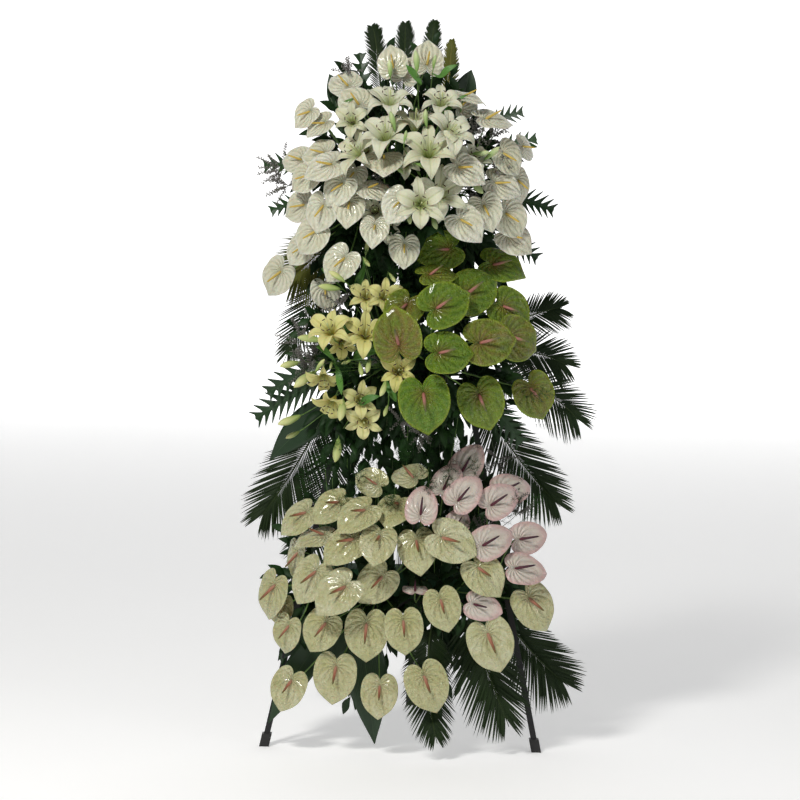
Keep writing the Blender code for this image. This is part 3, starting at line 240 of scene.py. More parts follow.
class Wire:
    # One shader socket in plain arithmetic; node() sets any other node behind it.

    def __init__(self, tree, socket=None):
        self.tree = tree
        self.socket = socket

    def node(self, kind, settings=None, inputs=None, output=0):
        made = self.tree.nodes.new(kind)
        for key, value in (settings or {}).items():
            if key == "stops":
                stops = made.color_ramp.elements
                for stop, (spot, colour) in zip((stops[0], stops[-1]), (value[0], value[-1])):
                    stop.position = spot
                    stop.color = (*colour, 1.0)
                for spot, colour in value[1:-1]:
                    stops.new(spot).color = (*colour, 1.0)
            else:
                setattr(made, key, value)
        for key, value in (inputs or {}).items():
            if isinstance(value, Wire):
                self.tree.links.new(value.socket, made.inputs[key])
            elif isinstance(value, tuple) and made.inputs[key].type == "RGBA":
                made.inputs[key].default_value = (*value, 1.0)
            else:
                made.inputs[key].default_value = value
        return Wire(self.tree, made.outputs[output])

    def math(self, operation, *values):
        return self.node("ShaderNodeMath", {"operation": operation}, dict(enumerate(values)))

    def __add__(self, other):
        return self.math("ADD", self, other)

    def __radd__(self, other):
        return self.math("ADD", other, self)

    def __sub__(self, other):
        return self.math("SUBTRACT", self, other)

    def __rsub__(self, other):
        return self.math("SUBTRACT", other, self)

    def __mul__(self, other):
        return self.math("MULTIPLY", self, other)

    def __rmul__(self, other):
        return self.math("MULTIPLY", other, self)

    def __pow__(self, other):
        return self.math("POWER", self, other)

    def __rpow__(self, other):
        return self.math("POWER", other, self)

    def wave(self):
        # 0 on each whole number and 1 half-way between
        return self.math("PINGPONG", self * 2.0, 1.0)

    def step(self, low, high):
        return self.node("ShaderNodeMapRange", {"interpolation_type": "SMOOTHSTEP"},
                         {"Value": self, "From Min": low, "From Max": high})

    def mix(self, one, two):
        # this factor between two colours
        return self.node("ShaderNodeMix", {"data_type": "RGBA"}, {0: self, 6: one, 7: two}, 2)

    def mark(self, name):
        return self.node("ShaderNodeAttribute", {"attribute_name": name}, output="Fac")

    def place(self):
        return self.node("ShaderNodeTexCoord", output="Object")

    def noise(self, scale, detail=3.0, roughness=0.55, stretch=None):
        spot = self.place()
        if stretch:
            spot = spot.node("ShaderNodeMapping", None, {"Vector": spot, "Scale": stretch})
        return self.node("ShaderNodeTexNoise", None,
                         {"Vector": spot, "Scale": scale, "Detail": detail, "Roughness": roughness})

    def cells(self, scale, feature="F1"):
        return self.node("ShaderNodeTexVoronoi", {"feature": feature},
                         {"Vector": self.place(), "Scale": scale})

    def bump(self, strength, distance):
        return self.node("ShaderNodeBump", None, {"Strength": strength, "Distance": distance, "Height": self})


inputNames = {"colour": "Base Color", "rough": "Roughness", "normal": "Normal",
              "specular": "Specular IOR Level", "coat": "Coat Weight", "coatRough": "Coat Roughness",
              "soft": "Subsurface Weight", "softScale": "Subsurface Scale",
              "glow": "Emission Color", "glowing": "Emission Strength"}


def newPaint(name, varying, **steady):
    # varying is a function of the tree that returns the linked sockets; the others are steady
    material = bpy.data.materials.new(name)
    material.use_nodes = True
    tree = material.node_tree
    shader = tree.nodes["Principled BSDF"]
    for key, value in steady.items():
        shader.inputs[inputNames[key]].default_value = value
    for key, value in varying(Wire(tree)).items():
        tree.links.new(value.socket, shader.inputs[inputNames[key]])
    return material


def spathePaint(name, look):
    # Waxy blade of an anthurium: veins that bend to the tip, a puckered skin, a coloured rim.
    def varying(w):
        out, bearing, tint = w.mark("along"), w.mark("across"), w.mark("tint")
        fan = bearing + veinBend["share"] * out ** veinBend["power"] + 0.02 * w.noise(60.0)
        vein = (fan * look["veins"]).wave() ** look["veinWidth"]       # 1 in the middle of each field
        grain = w.cells(look["grain"], "SMOOTH_F1") + 0.5 * w.cells(look["grain"] * 2.3)
        heart = 1.0 - out.step(0.0, look["heartReach"])
        rim = out.step(look["rimFrom"], 1.0)
        mottle = w.noise(24.0, 4.0).step(0.35, 0.7)
        colour = tint.mix(look["base"], look["other"])
        colour = (mottle * 0.7).mix(colour, look["mottle"])
        colour = (heart * look["heartShare"]).mix(colour, look["heart"])
        colour = (rim * look["rimShare"]).mix(colour, look["rim"])
        # on the white, cream and blush kinds the vein colour is darker and lies in the sunken veins: painted
        # shade in the grooves; on the green kind the lighter veins are their own colour
        colour = ((1.0 - vein) * look["veinShare"] * (1.0 - rim * 0.5)).mix(colour, look["vein"])
        height = vein + grain * look["pucker"]
        return {"colour": colour, "rough": look["rough"] + mottle * 0.12,
                "normal": height.bump(look["relief"], 0.0026)}
    return newPaint(name, varying, coat=look["coat"], coatRough=0.10, soft=0.10, softScale=0.004,
                    specular=look["shine"])


# vein: on white, cream and blush a painted shade for the sunken veins; on green the veins' own lighter colour
spatheLooks = {
    "white": dict(base=(0.66, 0.65, 0.50), other=(0.72, 0.71, 0.60), mottle=(0.58, 0.57, 0.40),
                  heart=(0.52, 0.53, 0.26), heartReach=0.36, heartShare=0.4, rim=(0.74, 0.73, 0.63),
                  rimFrom=0.85, rimShare=0.6, vein=(0.48, 0.49, 0.30), veinShare=0.36, veins=7.0,
                  veinWidth=0.65, grain=130.0, pucker=1.2, relief=1.0, rough=0.26, coat=0.30, shine=0.42),
    "green": dict(base=(0.098, 0.195, 0.009), other=(0.190, 0.150, 0.032), mottle=(0.052, 0.115, 0.005),
                  heart=(0.22, 0.070, 0.040), heartReach=0.62, heartShare=0.42, rim=(0.24, 0.32, 0.025),
                  rimFrom=0.88, rimShare=0.85, vein=(0.20, 0.29, 0.028), veinShare=0.55, veins=6.0,
                  veinWidth=0.65, grain=120.0, pucker=2.2, relief=1.0, rough=0.24, coat=0.24, shine=0.28),
    "cream": dict(base=(0.51, 0.50, 0.26), other=(0.62, 0.61, 0.39), mottle=(0.43, 0.42, 0.17),
                  heart=(0.47, 0.40, 0.20), heartReach=0.24, heartShare=0.35, rim=(0.55, 0.55, 0.30),
                  rimFrom=0.85, rimShare=0.6, vein=(0.40, 0.41, 0.17), veinShare=0.24, veins=6.0,
                  veinWidth=0.65, grain=110.0, pucker=2.2, relief=1.0, rough=0.20, coat=0.42, shine=0.45),
    "blush": dict(base=(0.66, 0.62, 0.53), other=(0.68, 0.60, 0.54), mottle=(0.62, 0.54, 0.46),
                  heart=(0.50, 0.34, 0.27), heartReach=0.36, heartShare=0.3, rim=(0.60, 0.19, 0.24),
                  rimFrom=0.62, rimShare=0.40, vein=(0.54, 0.44, 0.36), veinShare=0.4, veins=6.0,
                  veinWidth=0.6, grain=130.0, pucker=1.2, relief=0.9, rough=0.24, coat=0.32, shine=0.42),
}
spadixStops = {
    "white": ((0.0, (0.56, 0.42, 0.12)), (0.6, (0.60, 0.44, 0.09)), (1.0, (0.54, 0.36, 0.03))),
    "green": ((0.0, (0.46, 0.14, 0.11)), (0.5, (0.48, 0.19, 0.17)), (0.72, (0.20, 0.16, 0.05)),
              (1.0, (0.07, 0.09, 0.03))),
    "cream": ((0.0, (0.54, 0.29, 0.21)), (0.42, (0.46, 0.15, 0.10)), (0.75, (0.24, 0.065, 0.03)),
              (1.0, (0.12, 0.12, 0.03))),
    "blush": ((0.0, (0.12, 0.012, 0.03)), (0.7, (0.05, 0.008, 0.02)), (1.0, (0.03, 0.006, 0.015))),
}


def spadixPaint(name, stops):
    def varying(w):
        studs = w.cells(900.0)
        spot = w.mark("along") + 0.06 * w.noise(120.0)
        colour = w.node("ShaderNodeValToRGB", {"stops": stops}, {"Fac": spot})
        return {"colour": (studs.step(0.2, 0.7) * 0.35).mix(colour, stops[-1][1]),
                "rough": 0.42 + studs * 0.2, "normal": (1.0 - studs).bump(0.7, 0.0006)}
    return newPaint(name, varying, soft=0.05, softScale=0.003)


def stemPaint(name, pale, dark):
    def varying(w):
        streak = w.noise(90.0, 4.0, stretch=(1.0, 1.0, 0.15))
        colour = streak.step(0.3, 0.75).mix(dark, pale)
        return {"colour": (w.mark("along") * 0.5).mix(colour, pale), "rough": 0.38 + streak * 0.2,
                "normal": streak.bump(0.3, 0.0005)}
    return newPaint(name, varying, coat=0.15)


def petalPaint(name, look):
    # Lily petal: green throat and midrib, fine lengthwise lines, small warts near the throat.
    def varying(w):
        along, across, tint = w.mark("along"), w.mark("across"), w.mark("tint")
        side = across.math("ABSOLUTE", across)
        rib = 1.0 - side.step(0.0, 0.22)
        throat = 1.0 - along.step(0.10, look["throatReach"])
        lines = (across * 6.0).wave() * 0.5 + w.noise(90.0, 3.0, stretch=(1.0, 1.0, 1.6)) * 0.9
        colour = tint.mix(look["base"], look["other"])
        colour = (rib * (1.0 - along * 0.8) * look["ribShare"]).mix(colour, look["rib"])
        colour = (throat * 0.9).mix(colour, look["throat"])
        colour = (side.step(0.75, 1.0) * 0.4).mix(colour, look["edge"])
        warts = w.cells(700.0).step(0.1, 0.5) * throat
        return {"colour": colour, "rough": 0.45 + lines * 0.12,
                "normal": (lines - rib * 1.4 - warts).bump(0.8, 0.0014)}
    return newPaint(name, varying, soft=0.10, softScale=0.004, specular=0.35)


petalLooks = {
    "white": dict(base=(0.67, 0.67, 0.54), other=(0.62, 0.62, 0.43), rib=(0.46, 0.53, 0.18), ribShare=0.6,
                  throat=(0.34, 0.44, 0.08), throatReach=0.55, edge=(0.72, 0.72, 0.62)),
    "yellow": dict(base=(0.68, 0.64, 0.22), other=(0.72, 0.69, 0.34), rib=(0.48, 0.48, 0.07),
                   ribShare=0.6, throat=(0.46, 0.38, 0.01), throatReach=0.5, edge=(0.74, 0.71, 0.40)),
}


def budPaint(name, tip, base):
    def varying(w):
        along, across = w.mark("along"), w.mark("across")
        ribs = (across * 3.0).wave()
        fade = (along + 0.25 * ribs - 0.15).step(0.05, 0.85)
        lines = (across * 18.0).wave()
        return {"colour": (w.mark("tint") * 0.6).mix(fade.mix(base, tip), base), "rough": 0.4 + 0.1 * lines,
                "normal": (ribs * 1.5 + lines * 0.4).bump(0.4, 0.0006)}
    return newPaint(name, varying, soft=0.1, softScale=0.004)


def stamenPaint():
    stops = ((0.0, (0.45, 0.52, 0.20)), (0.70, (0.52, 0.56, 0.26)), (0.74, (0.035, 0.012, 0.006)),
             (1.0, (0.05, 0.02, 0.01)))

    def varying(w):
        return {"colour": w.node("ShaderNodeValToRGB", {"stops": stops}, {"Fac": w.mark("along")}),
                "rough": 0.5 + 0.3 * w.noise(400.0), "normal": w.cells(1500.0).bump(0.5, 0.0004)}
    return newPaint("stamens", varying)


def leafPaint(name, look):
    # Leaves of every kind: veins run either across the blade or along it.
    def varying(w):
        along, across, tint = w.mark("along"), w.mark("across"), w.mark("tint")
        side = across.math("ABSOLUTE", across)
        rib = 1.0 - side.step(0.0, look["ribWidth"])
        if look["parallel"]:
            vein = (across * look["veins"]).wave()
        else:
            vein = (along * look["veins"] + 0.05 * w.noise(40.0)).wave() ** 0.3
        patches = w.noise(18.0, 4.0).step(0.3, 0.75)
        colour = tint.mix(look["base"], look["other"])
        colour = (patches * 0.5).mix(colour, look["dark"])
        colour = ((1.0 - vein) * look["veinShare"]).mix(colour, look["vein"])
        colour = (rib * look["ribShare"]).mix(colour, look["vein"])
        skin = w.noise(300.0, 2.0)
        return {"colour": colour, "rough": look["rough"] + 0.16 * patches,
                "normal": (vein * 0.7 + skin * 0.25 - rib).bump(look["relief"], 0.0008)}
    return newPaint(name, varying, coat=look["coat"], coatRough=0.25, specular=look["shine"])


leafLooks = {
    "palm": dict(base=(0.006, 0.019, 0.005), other=(0.015, 0.034, 0.008), dark=(0.003, 0.009, 0.003),
                 vein=(0.060, 0.085, 0.025), veins=3.0, parallel=True, veinShare=0.1, ribWidth=0.25,
                 ribShare=0.4, rough=0.38, relief=0.4, coat=0.0, shine=0.2),
    "goldenPalm": dict(base=(0.075, 0.095, 0.010), other=(0.12, 0.12, 0.014), dark=(0.03, 0.05, 0.008),
                       vein=(0.17, 0.15, 0.03), veins=3.0, parallel=True, veinShare=0.2, ribWidth=0.3,
                       ribShare=0.5, rough=0.38, relief=0.4, coat=0.0, shine=0.25),
    "lobed": dict(base=(0.009, 0.036, 0.008), other=(0.016, 0.060, 0.012), dark=(0.005, 0.020, 0.005),
                  vein=(0.045, 0.10, 0.03), veins=9.0, parallel=False, veinShare=0.3, ribWidth=0.06,
                  ribShare=0.6, rough=0.30, relief=0.5, coat=0.08, shine=0.35),
    "broad": dict(base=(0.008, 0.026, 0.010), other=(0.014, 0.040, 0.014), dark=(0.005, 0.018, 0.007),
                  vein=(0.05, 0.10, 0.04), veins=11.0, parallel=True, veinShare=0.35, ribWidth=0.05,
                  ribShare=0.6, rough=0.30, relief=0.5, coat=0.08, shine=0.35),
    "filler": dict(base=(0.010, 0.030, 0.009), other=(0.022, 0.060, 0.014), dark=(0.006, 0.016, 0.006),
                   vein=(0.03, 0.07, 0.025), veins=7.0, parallel=False, veinShare=0.25, ribWidth=0.08,
                   ribShare=0.5, rough=0.42, relief=0.4, coat=0.0, shine=0.2),
    "lilyLeaf": dict(base=(0.05, 0.16, 0.018), other=(0.10, 0.26, 0.03), dark=(0.03, 0.10, 0.02),
                     vein=(0.13, 0.28, 0.06), veins=5.0, parallel=True, veinShare=0.3, ribWidth=0.1,
                     ribShare=0.4, rough=0.32, relief=0.4, coat=0.1, shine=0.4),
    "fern": dict(base=(0.012, 0.045, 0.008), other=(0.024, 0.080, 0.012), dark=(0.006, 0.024, 0.005),
                 vein=(0.04, 0.10, 0.02), veins=1.0, parallel=True, veinShare=0.0, ribWidth=0.1,
                 ribShare=0.0, rough=0.6, relief=0.2, coat=0.0, shine=0.15),
    "statice": dict(base=(0.16, 0.15, 0.13), other=(0.26, 0.24, 0.24), dark=(0.07, 0.075, 0.05),
                    vein=(0.30, 0.28, 0.28), veins=2.0, parallel=True, veinShare=0.3, ribWidth=0.1,
                    ribShare=0.1, rough=0.75, relief=0.3, coat=0.0, shine=0.15),
}


def steelPaint():
    def varying(w):
        grain, wear = w.noise(900.0, 2.0), w.noise(35.0, 5.0).step(0.62, 0.8)
        return {"colour": (wear * 0.35).mix((0.010, 0.010, 0.011), (0.035, 0.034, 0.033)),
                "rough": 0.40 + 0.18 * wear + 0.1 * grain, "normal": (grain + wear * 0.4).bump(0.25, 0.0004)}
    return newPaint("blackSteel", varying, specular=0.5)


def plasticPaint():
    def varying(w):
        grain = w.noise(1400.0, 2.0)
        scuff = w.noise(60.0, 4.0, stretch=(1.0, 1.0, 4.0)).step(0.55, 0.75)
        return {"colour": (scuff * 0.4).mix((0.014, 0.014, 0.014), (0.04, 0.04, 0.038)),
                "rough": 0.5 + 0.2 * scuff, "normal": (grain + scuff * 0.5).bump(0.35, 0.0004)}
    return newPaint("blackPlastic", varying)


def foamPaint():
    def varying(w):
        pores, crumbs = w.cells(900.0), w.noise(150.0, 6.0, 0.7)
        damp = w.noise(14.0, 3.0).step(0.35, 0.7)
        return {"colour": damp.mix((0.030, 0.11, 0.045), (0.018, 0.07, 0.03)), "rough": 0.75 + 0.2 * pores,
                "normal": (pores * 0.8 + crumbs).bump(0.9, 0.0016)}
    return newPaint("wetFoam", varying)


paints = {kind + "Spathe": spathePaint(kind + "Spathe", look) for kind, look in spatheLooks.items()}
paints.update({kind + "Spadix": spadixPaint(kind + "Spadix", stops) for kind, stops in spadixStops.items()})
paints.update({kind + "Petal": petalPaint(kind + "Petal", look) for kind, look in petalLooks.items()})
paints.update({kind: leafPaint(kind, look) for kind, look in leafLooks.items()})
paints["stem"] = stemPaint("stem", (0.16, 0.28, 0.06), (0.06, 0.14, 0.03))
paints["twig"] = stemPaint("twig", (0.10, 0.14, 0.05), (0.04, 0.06, 0.025))
paints["whiteBud"] = budPaint("whiteBud", (0.55, 0.62, 0.32), (0.20, 0.34, 0.08))
paints["yellowBud"] = budPaint("yellowBud", (0.66, 0.66, 0.30), (0.30, 0.42, 0.11))
paints["stamens"] = stamenPaint()
paints["steel"] = steelPaint()
paints["plastic"] = plasticPaint()
paints["foam"] = foamPaint()
print("paints mixed")


# Meshes

def newObject(name, data):
    made = bpy.data.objects.new(name, data)
    bpy.context.scene.collection.objects.link(made)
    return made


class Sheaf:
    # Gathers the shells and tubes of one piece, with three marks at each point: how far along
    # and across its own leaf or petal, and the tint of the whole leaf.

    def __init__(self):
        self.points, self.marks, self.faces, self.slots, self.names = [], [], [], [], []
        self.count = 0

    def add(self, paint, points, faces, along, across, tint):
        if paint not in self.names:
            self.names.append(paint)
        size = len(points)
        self.points.append(np.asarray(points, float).reshape(-1, 3))
        marks = np.empty((size, 3))
        marks[:, 0], marks[:, 1], marks[:, 2] = along, across, tint
        self.marks.append(marks)
        self.faces += [tuple(k + self.count for k in face) for face in faces]
        self.slots += [self.names.index(paint)] * len(faces)
        self.count += size

    def addTube(self, paint, route, radii, sides, flute, start, scale, tint):
        # a tube whose mark along it runs from start, by scale
        points, faces, along, around = tube(route, radii, sides, flute)
        self.add(paint, points, faces, start + scale * along, around, tint)

    def make(self, name, slot, replaced=()):
        mesh = bpy.data.meshes.new(name)
        mesh.from_pydata(np.vstack(self.points).tolist(), [], self.faces)
        marks = np.vstack(self.marks).astype(np.float32)
        for column, title in enumerate(("along", "across", "tint")):
            layer = mesh.attributes.new(title, "FLOAT", "POINT")
            layer.data.foreach_set("value", np.ascontiguousarray(marks[:, column]))
        for paint in self.names:
            mesh.materials.append(paints[paint])
        mesh.polygons.foreach_set("material_index", self.slots)
        mesh.polygons.foreach_set("use_smooth", [True] * len(mesh.polygons))
        mesh.update()
        piece = newObject(name, mesh)
        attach(piece, "root")
        if replaced:
            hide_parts(*replaced)


def shell(grid, depth, closed=False):
    # A closed shell over a grid of points (rows, columns): a front, a back and the rims. In a
    # closed grid the columns go right round, and the first row is capped.
    rows, columns = grid.shape[:2]
    if closed:
        wide = np.roll(grid, -1, 1) - np.roll(grid, 1, 1)
    else:
        wide = np.gradient(grid, axis=1)
    normal = np.cross(np.gradient(grid, axis=0), wide)
    normal /= np.linalg.norm(normal, axis=2, keepdims=True) + 1e-12
    points = np.concatenate([grid.reshape(-1, 3), (grid - normal * depth).reshape(-1, 3)])
    back = rows * columns
    faces = []
    last = columns if closed else columns - 1
    for i in range(rows - 1):
        for j in range(last):
            a, b = i * columns + j, i * columns + (j + 1) % columns
            c, d = b + columns, a + columns
            faces += [(a, d, c, b), (back + a, back + b, back + c, back + d)]
    edges = [((rows - 1) * columns + j, (rows - 1) * columns + (j + 1) % columns) for j in range(last)]
    if closed:
        faces += [tuple(range(columns)), tuple(reversed(range(back, back + columns)))]
    else:
        edges += [(j + 1, j) for j in range(last)]
        edges += [(i * columns, (i + 1) * columns) for i in range(rows - 1)]
        edges += [((i + 2) * columns - 1, (i + 1) * columns - 1) for i in range(rows - 1)]
    faces += [(b, a, back + a, back + b) for a, b in edges]
    return points, faces


def leafMarks(along, across):
    # the marks at the points of an open shell, front and back
    return np.tile(np.repeat(along, len(across)), 2), np.tile(np.tile(across, len(along)), 2)


def tube(route, radii, sides, flute=0.0):
    # A round tube with closed ends; flute adds three ribs.
    spots = [Vector(spot) for spot in route]
    across = None
    rings = []
    for i, spot in enumerate(spots):
        way = (spots[min(i + 1, len(spots) - 1)] - spots[max(i - 1, 0)]).normalized()
        if across is None:
            across = way.orthogonal().normalized()
        across = (across - way * across.dot(way)).normalized()
        other = way.cross(across)
        for k in range(sides):
            turn = 2 * math.pi * k / sides
            wide = radii[i] * (1 + flute * math.cos(3 * turn))
            rings.append(spot + (across * math.cos(turn) + other * math.sin(turn)) * wide)
    faces = []
    for i in range(len(spots) - 1):
        for k in range(sides):
            a, b = i * sides + k, i * sides + (k + 1) % sides
            faces.append((a, b, b + sides, a + sides))
    faces.append(tuple(reversed(range(sides))))
    faces.append(tuple(range(len(rings) - sides, len(rings))))
    along = np.repeat(np.linspace(0.0, 1.0, len(spots)), sides)
    around = np.tile(np.arange(sides) / sides, len(spots))
    return [tuple(spot) for spot in rings], faces, along, around


def through(knots, values, where):
    # A smooth curve of values through the knots, read at the given places.
    knots, values = np.asarray(knots, float), np.asarray(values, float)
    slopes = np.gradient(values, knots, axis=0)
    where = np.clip(where, knots[0], knots[-1])
    spot = np.clip(np.searchsorted(knots, where, "right") - 1, 0, len(knots) - 2)
    span = knots[spot + 1] - knots[spot]
    t = (where - knots[spot]) / span
    if values.ndim == 2:
        span, t = span[:, None], t[:, None]
    return ((2 * t ** 3 - 3 * t ** 2 + 1) * values[spot] + (t ** 3 - 2 * t ** 2 + t) * span * slopes[spot]
            + (3 * t ** 2 - 2 * t ** 3) * values[spot + 1] + (t ** 3 - t ** 2) * span * slopes[spot + 1])


def routeThrough(spots, count):
    spots = np.array([tuple(spot) for spot in spots], float)
    reach = np.concatenate([[0.0], np.cumsum(np.linalg.norm(np.diff(spots, axis=0), axis=1) + 1e-9)])
    return through(reach, spots, np.linspace(0.0, reach[-1], count))


def place(side, up, out):
    # A spot of the front elevation, moved towards the eye until it is out metres in front.
    flat = Vector((side, 0.0, up))
    return eye + (flat - eye) * (1.0 + out / eye.y) + easelMiddle


def placeAt(spot):
    # the same for a spot (side, up, out) in centimetres
    return place(*(v / 100 for v in spot))


def frameOf(yaw, pitch, aim):
    yaw, pitch, aim = math.radians(yaw), math.radians(pitch), math.radians(aim)
    facing = Vector((math.sin(yaw) * math.cos(pitch), -math.cos(yaw) * math.cos(pitch), math.sin(pitch)))
    tip = Vector((math.cos(aim), 0.0, math.sin(aim)))
    tip = (tip - facing * tip.dot(facing)).normalized()
    return tip.cross(facing), tip, facing


trayFloor = 0.0026                         # from the shelf up to the foam


def foamBox(tier):
    width, depth, height = tiers[tier]["foam"]
    low = easelMiddle + Vector((-width / 2, tiers[tier]["front"], tiers[tier]["shelf"] + trayFloor))
    return low, low + Vector((width, depth, height))


def faceSpot(tier, face, offset):
    low, high = foamBox(tier)
    centre = (low + high) / 2
    along, rise = offset[0] / 100, offset[1] / 100
    spot, way = {"front": ((centre.x + along, low.y, centre.z + rise), (0, -1, 0)),
                 "left": ((low.x, centre.y + along, centre.z + rise), (-1, 0, 0)),
                 "right": ((high.x, centre.y + along, centre.z + rise), (1, 0, 0)),
                 "top": ((centre.x + along, centre.y + rise, high.z), (0, 0, 1))}[face]
    return Vector(spot), Vector(way)


# Flowers in their places, as the frame has them

dome = {"edge": 0.10, "layer": 0.016, "clear": 0.007, "draw": 0.005, "draws": 40, "cup": 0.20}


def domeOut(tier, side, up, share=1.0):
    # how far the dome stands out at a spot
    middleSide, middleUp, wide, high, middleOut = tiers[tier]["dome"]
    spread = ((side - middleSide) / wide) ** 2 + ((up - middleUp) / high) ** 2
    return (dome["edge"] + (middleOut - dome["edge"]) * math.sqrt(max(0.0, 1.0 - spread))) * share


class Flower:
    def __init__(self, group, kind, tier, row):
        self.group, self.kind = group, kind
        self.side, self.up, self.length = row[0] / 100, row[1] / 100, row[3] / 100
        if kind == "bud":
            self.aim, yaw, pitch = row[4], 0, 20
        elif kind == "lily":
            self.aim, yaw, pitch = 90, row[4], row[5]
        else:
            self.aim, yaw, pitch = row[4:7]
        self.across, self.tip, self.facing = frameOf(yaw, pitch, self.aim)
        self.out = domeOut(tier, self.side, self.up) + row[2] * dome["layer"]

    def at(self, x=0.0, y=0.0, z=0.0):
        spot = place(self.side, self.up, self.out)
        return spot + (self.across * x + self.tip * y + self.facing * z) * self.length

    def spread(self, x, y, z):
        # the same for arrays
        turn = np.array([self.across, self.tip, self.facing]) * self.length
        return np.stack([x, y, z], -1) @ turn + np.array(place(self.side, self.up, self.out))

    def ringOf(self):
        if self.kind == "bud":
            return [self.at(y=y) for y in (-0.5, 0.0, 0.5)]
        if self.kind == "lily":
            turns = [math.radians(60 * i + 30) for i in range(6)]
            ring = [self.at(0.5 * math.cos(t), 0.5 * math.sin(t), -0.04) for t in turns]
            ring += [self.at(0.3 * math.cos(t), 0.3 * math.sin(t), 0.02) for t in turns]
            return ring + [self.at(z=-0.42), self.at(z=-0.2)]
        outline = heart + tuple((-x, y) for x, y in heart[1:-1])
        ring = [self.at(x, y, -dome["cup"] * (x * x + y * y)) for x, y in outline]
        return ring + [self.at(y=0.18, z=0.14), self.at(y=0.33, z=0.26), self.at()]

    def disc(self):
        if self.kind == "bud":
            return None
        centre = self.at(y=0.22, z=-0.02) if self.kind == "anthurium" else self.at()
        return centre, self.facing, self.length * 0.5


def crosses(one, other):
    for a, b in ((one, other), (other, one)):
        disc = a.disc()
        if disc is None:
            continue
        centre, facing, radius = disc
        heights = []
        for mark in b.ringOf():
            offset = mark - centre
            height = offset.dot(facing)
            if (offset - facing * height).length < radius:
                heights.append(height)
        if heights and min(heights) < dome["clear"] and max(heights) > -dome["clear"]:
            return True
    return False


flowers = []
for group, (_, tier, _, _, rows) in anthuriums.items():
    flowers += [Flower(group, "anthurium", tier, row) for row in rows]
for group, (_, tier, _, _, opened, buds) in lilies.items():
    flowers += [Flower(group, "lily", tier, row) for row in opened]
    flowers += [Flower(group, "bud", tier, row) for row in buds]
settled = []
for flower in sorted(flowers, key=lambda f: f.out):
    for _ in range(dome["draws"]):
        if not any(crosses(flower, other) for other in settled):
            break
        flower.out += dome["draw"]
    settled.append(flower)
print("flowers placed:", len(flowers))


# Stems

stems = {"radius": 0.0021, "budRadius": 0.0016, "taper": (0.85, 1.05), "sides": 7, "rings": 15,
         "bundle": 0.0044, "pegReach": 0.0095, "plugIn": 0.026, "plugOut": 0.030}
stemRoutes = []


def bundleSpot(face, index, total):
    # Stems of a bunch stand side by side where they enter the foam.
    spot, way = face
    side = Vector((0, 0, 1)) if abs(way.z) < 0.5 else Vector((1, 0, 0))
    other = way.cross(side)
    rows = max(2, math.ceil(math.sqrt(total)))
    step = min(stems["bundle"], stems["pegReach"] / (rows - 1))
    a, b = index % rows - (rows - 1) / 2, index // rows - (rows - 1) / 2
    return spot + side * a * step + other * b * step, way


def addStem(sheaf, start, knee, face, index, total, tint, wide=stems["radius"]):
    spot, way = bundleSpot(face, index, total)
    mouth = spot + way * stems["plugOut"]
    route = [start, start.lerp(knee, 0.6), knee.lerp(mouth, 0.25), knee.lerp(mouth, 0.6), mouth, spot,
             spot - way * stems["plugIn"]]
    line = routeThrough(route, stems["rings"])
    radii = np.linspace(wide * stems["taper"][0], wide * stems["taper"][1], stems["rings"])
    sheaf.addTube("stem", line, radii, stems["sides"], 0.0, 1.0, -1.0, tint)
    stemRoutes.append((line, sheaf))


# Anthuriums

spathe = {"rings": 12, "columns": 84, "thick": 0.0008,
          "neck": 0.03, "inner": (0.12, 0.88), "outer": (0.96, 1.0),        # where the rings lie
          "quilt": 0.020, "quiltRise": (1.2, 2.8), "fold": 0.20, "lean": 0.07, "crumple": 0.005,
          "crumpleWaves": (19, 23), "ripple": 0.016, "ripples": 5, "lobeLift": 0.14, "lobeFrom": 0.62,
          "tipCurl": 0.07, "tipWide": 22.0, "foot": -0.006, "knee": 0.045}
# the blade's edge at these bearings from its tip, in degrees, for a blade about 1 long
bearings = (0, 10, 28, 55, 80, 105, 130, 150, 165, 180)
edges = {"white": (0.73, 0.655, 0.590, 0.515, 0.455, 0.430, 0.410, 0.345, 0.245, 0.11),
         "green": (0.73, 0.660, 0.600, 0.520, 0.460, 0.435, 0.415, 0.350, 0.245, 0.11),
         "cream": (0.72, 0.655, 0.580, 0.475, 0.408, 0.382, 0.360, 0.315, 0.235, 0.12),
         "blush": (0.76, 0.700, 0.570, 0.435, 0.370, 0.345, 0.315, 0.270, 0.205, 0.12)}
spadix = {"rise": 38.0, "length": 0.42, "width": 0.030, "least": 0.0026, "sides": 10, "rings": 12,
          "bend": 0.05, "foot": -0.004,
          "profile": ((0, 0.1, 0.4, 0.85, 0.97, 1.0), (0.80, 1.0, 0.95, 0.62, 0.40, 0.10))}
# green blooms that have turned olive and red, and the one at (-3, 106), which is painted olive as painted
# shade: (side, up) and how far; the others turn less
oliveAndShadeTints = {(-3, 106): 1.0, (19, 107): 0.9, (27, 109): 0.8, (-1, 117): 0.7, (5, 125): 0.6, (33, 95): 0.75}
youngShare = 0.3


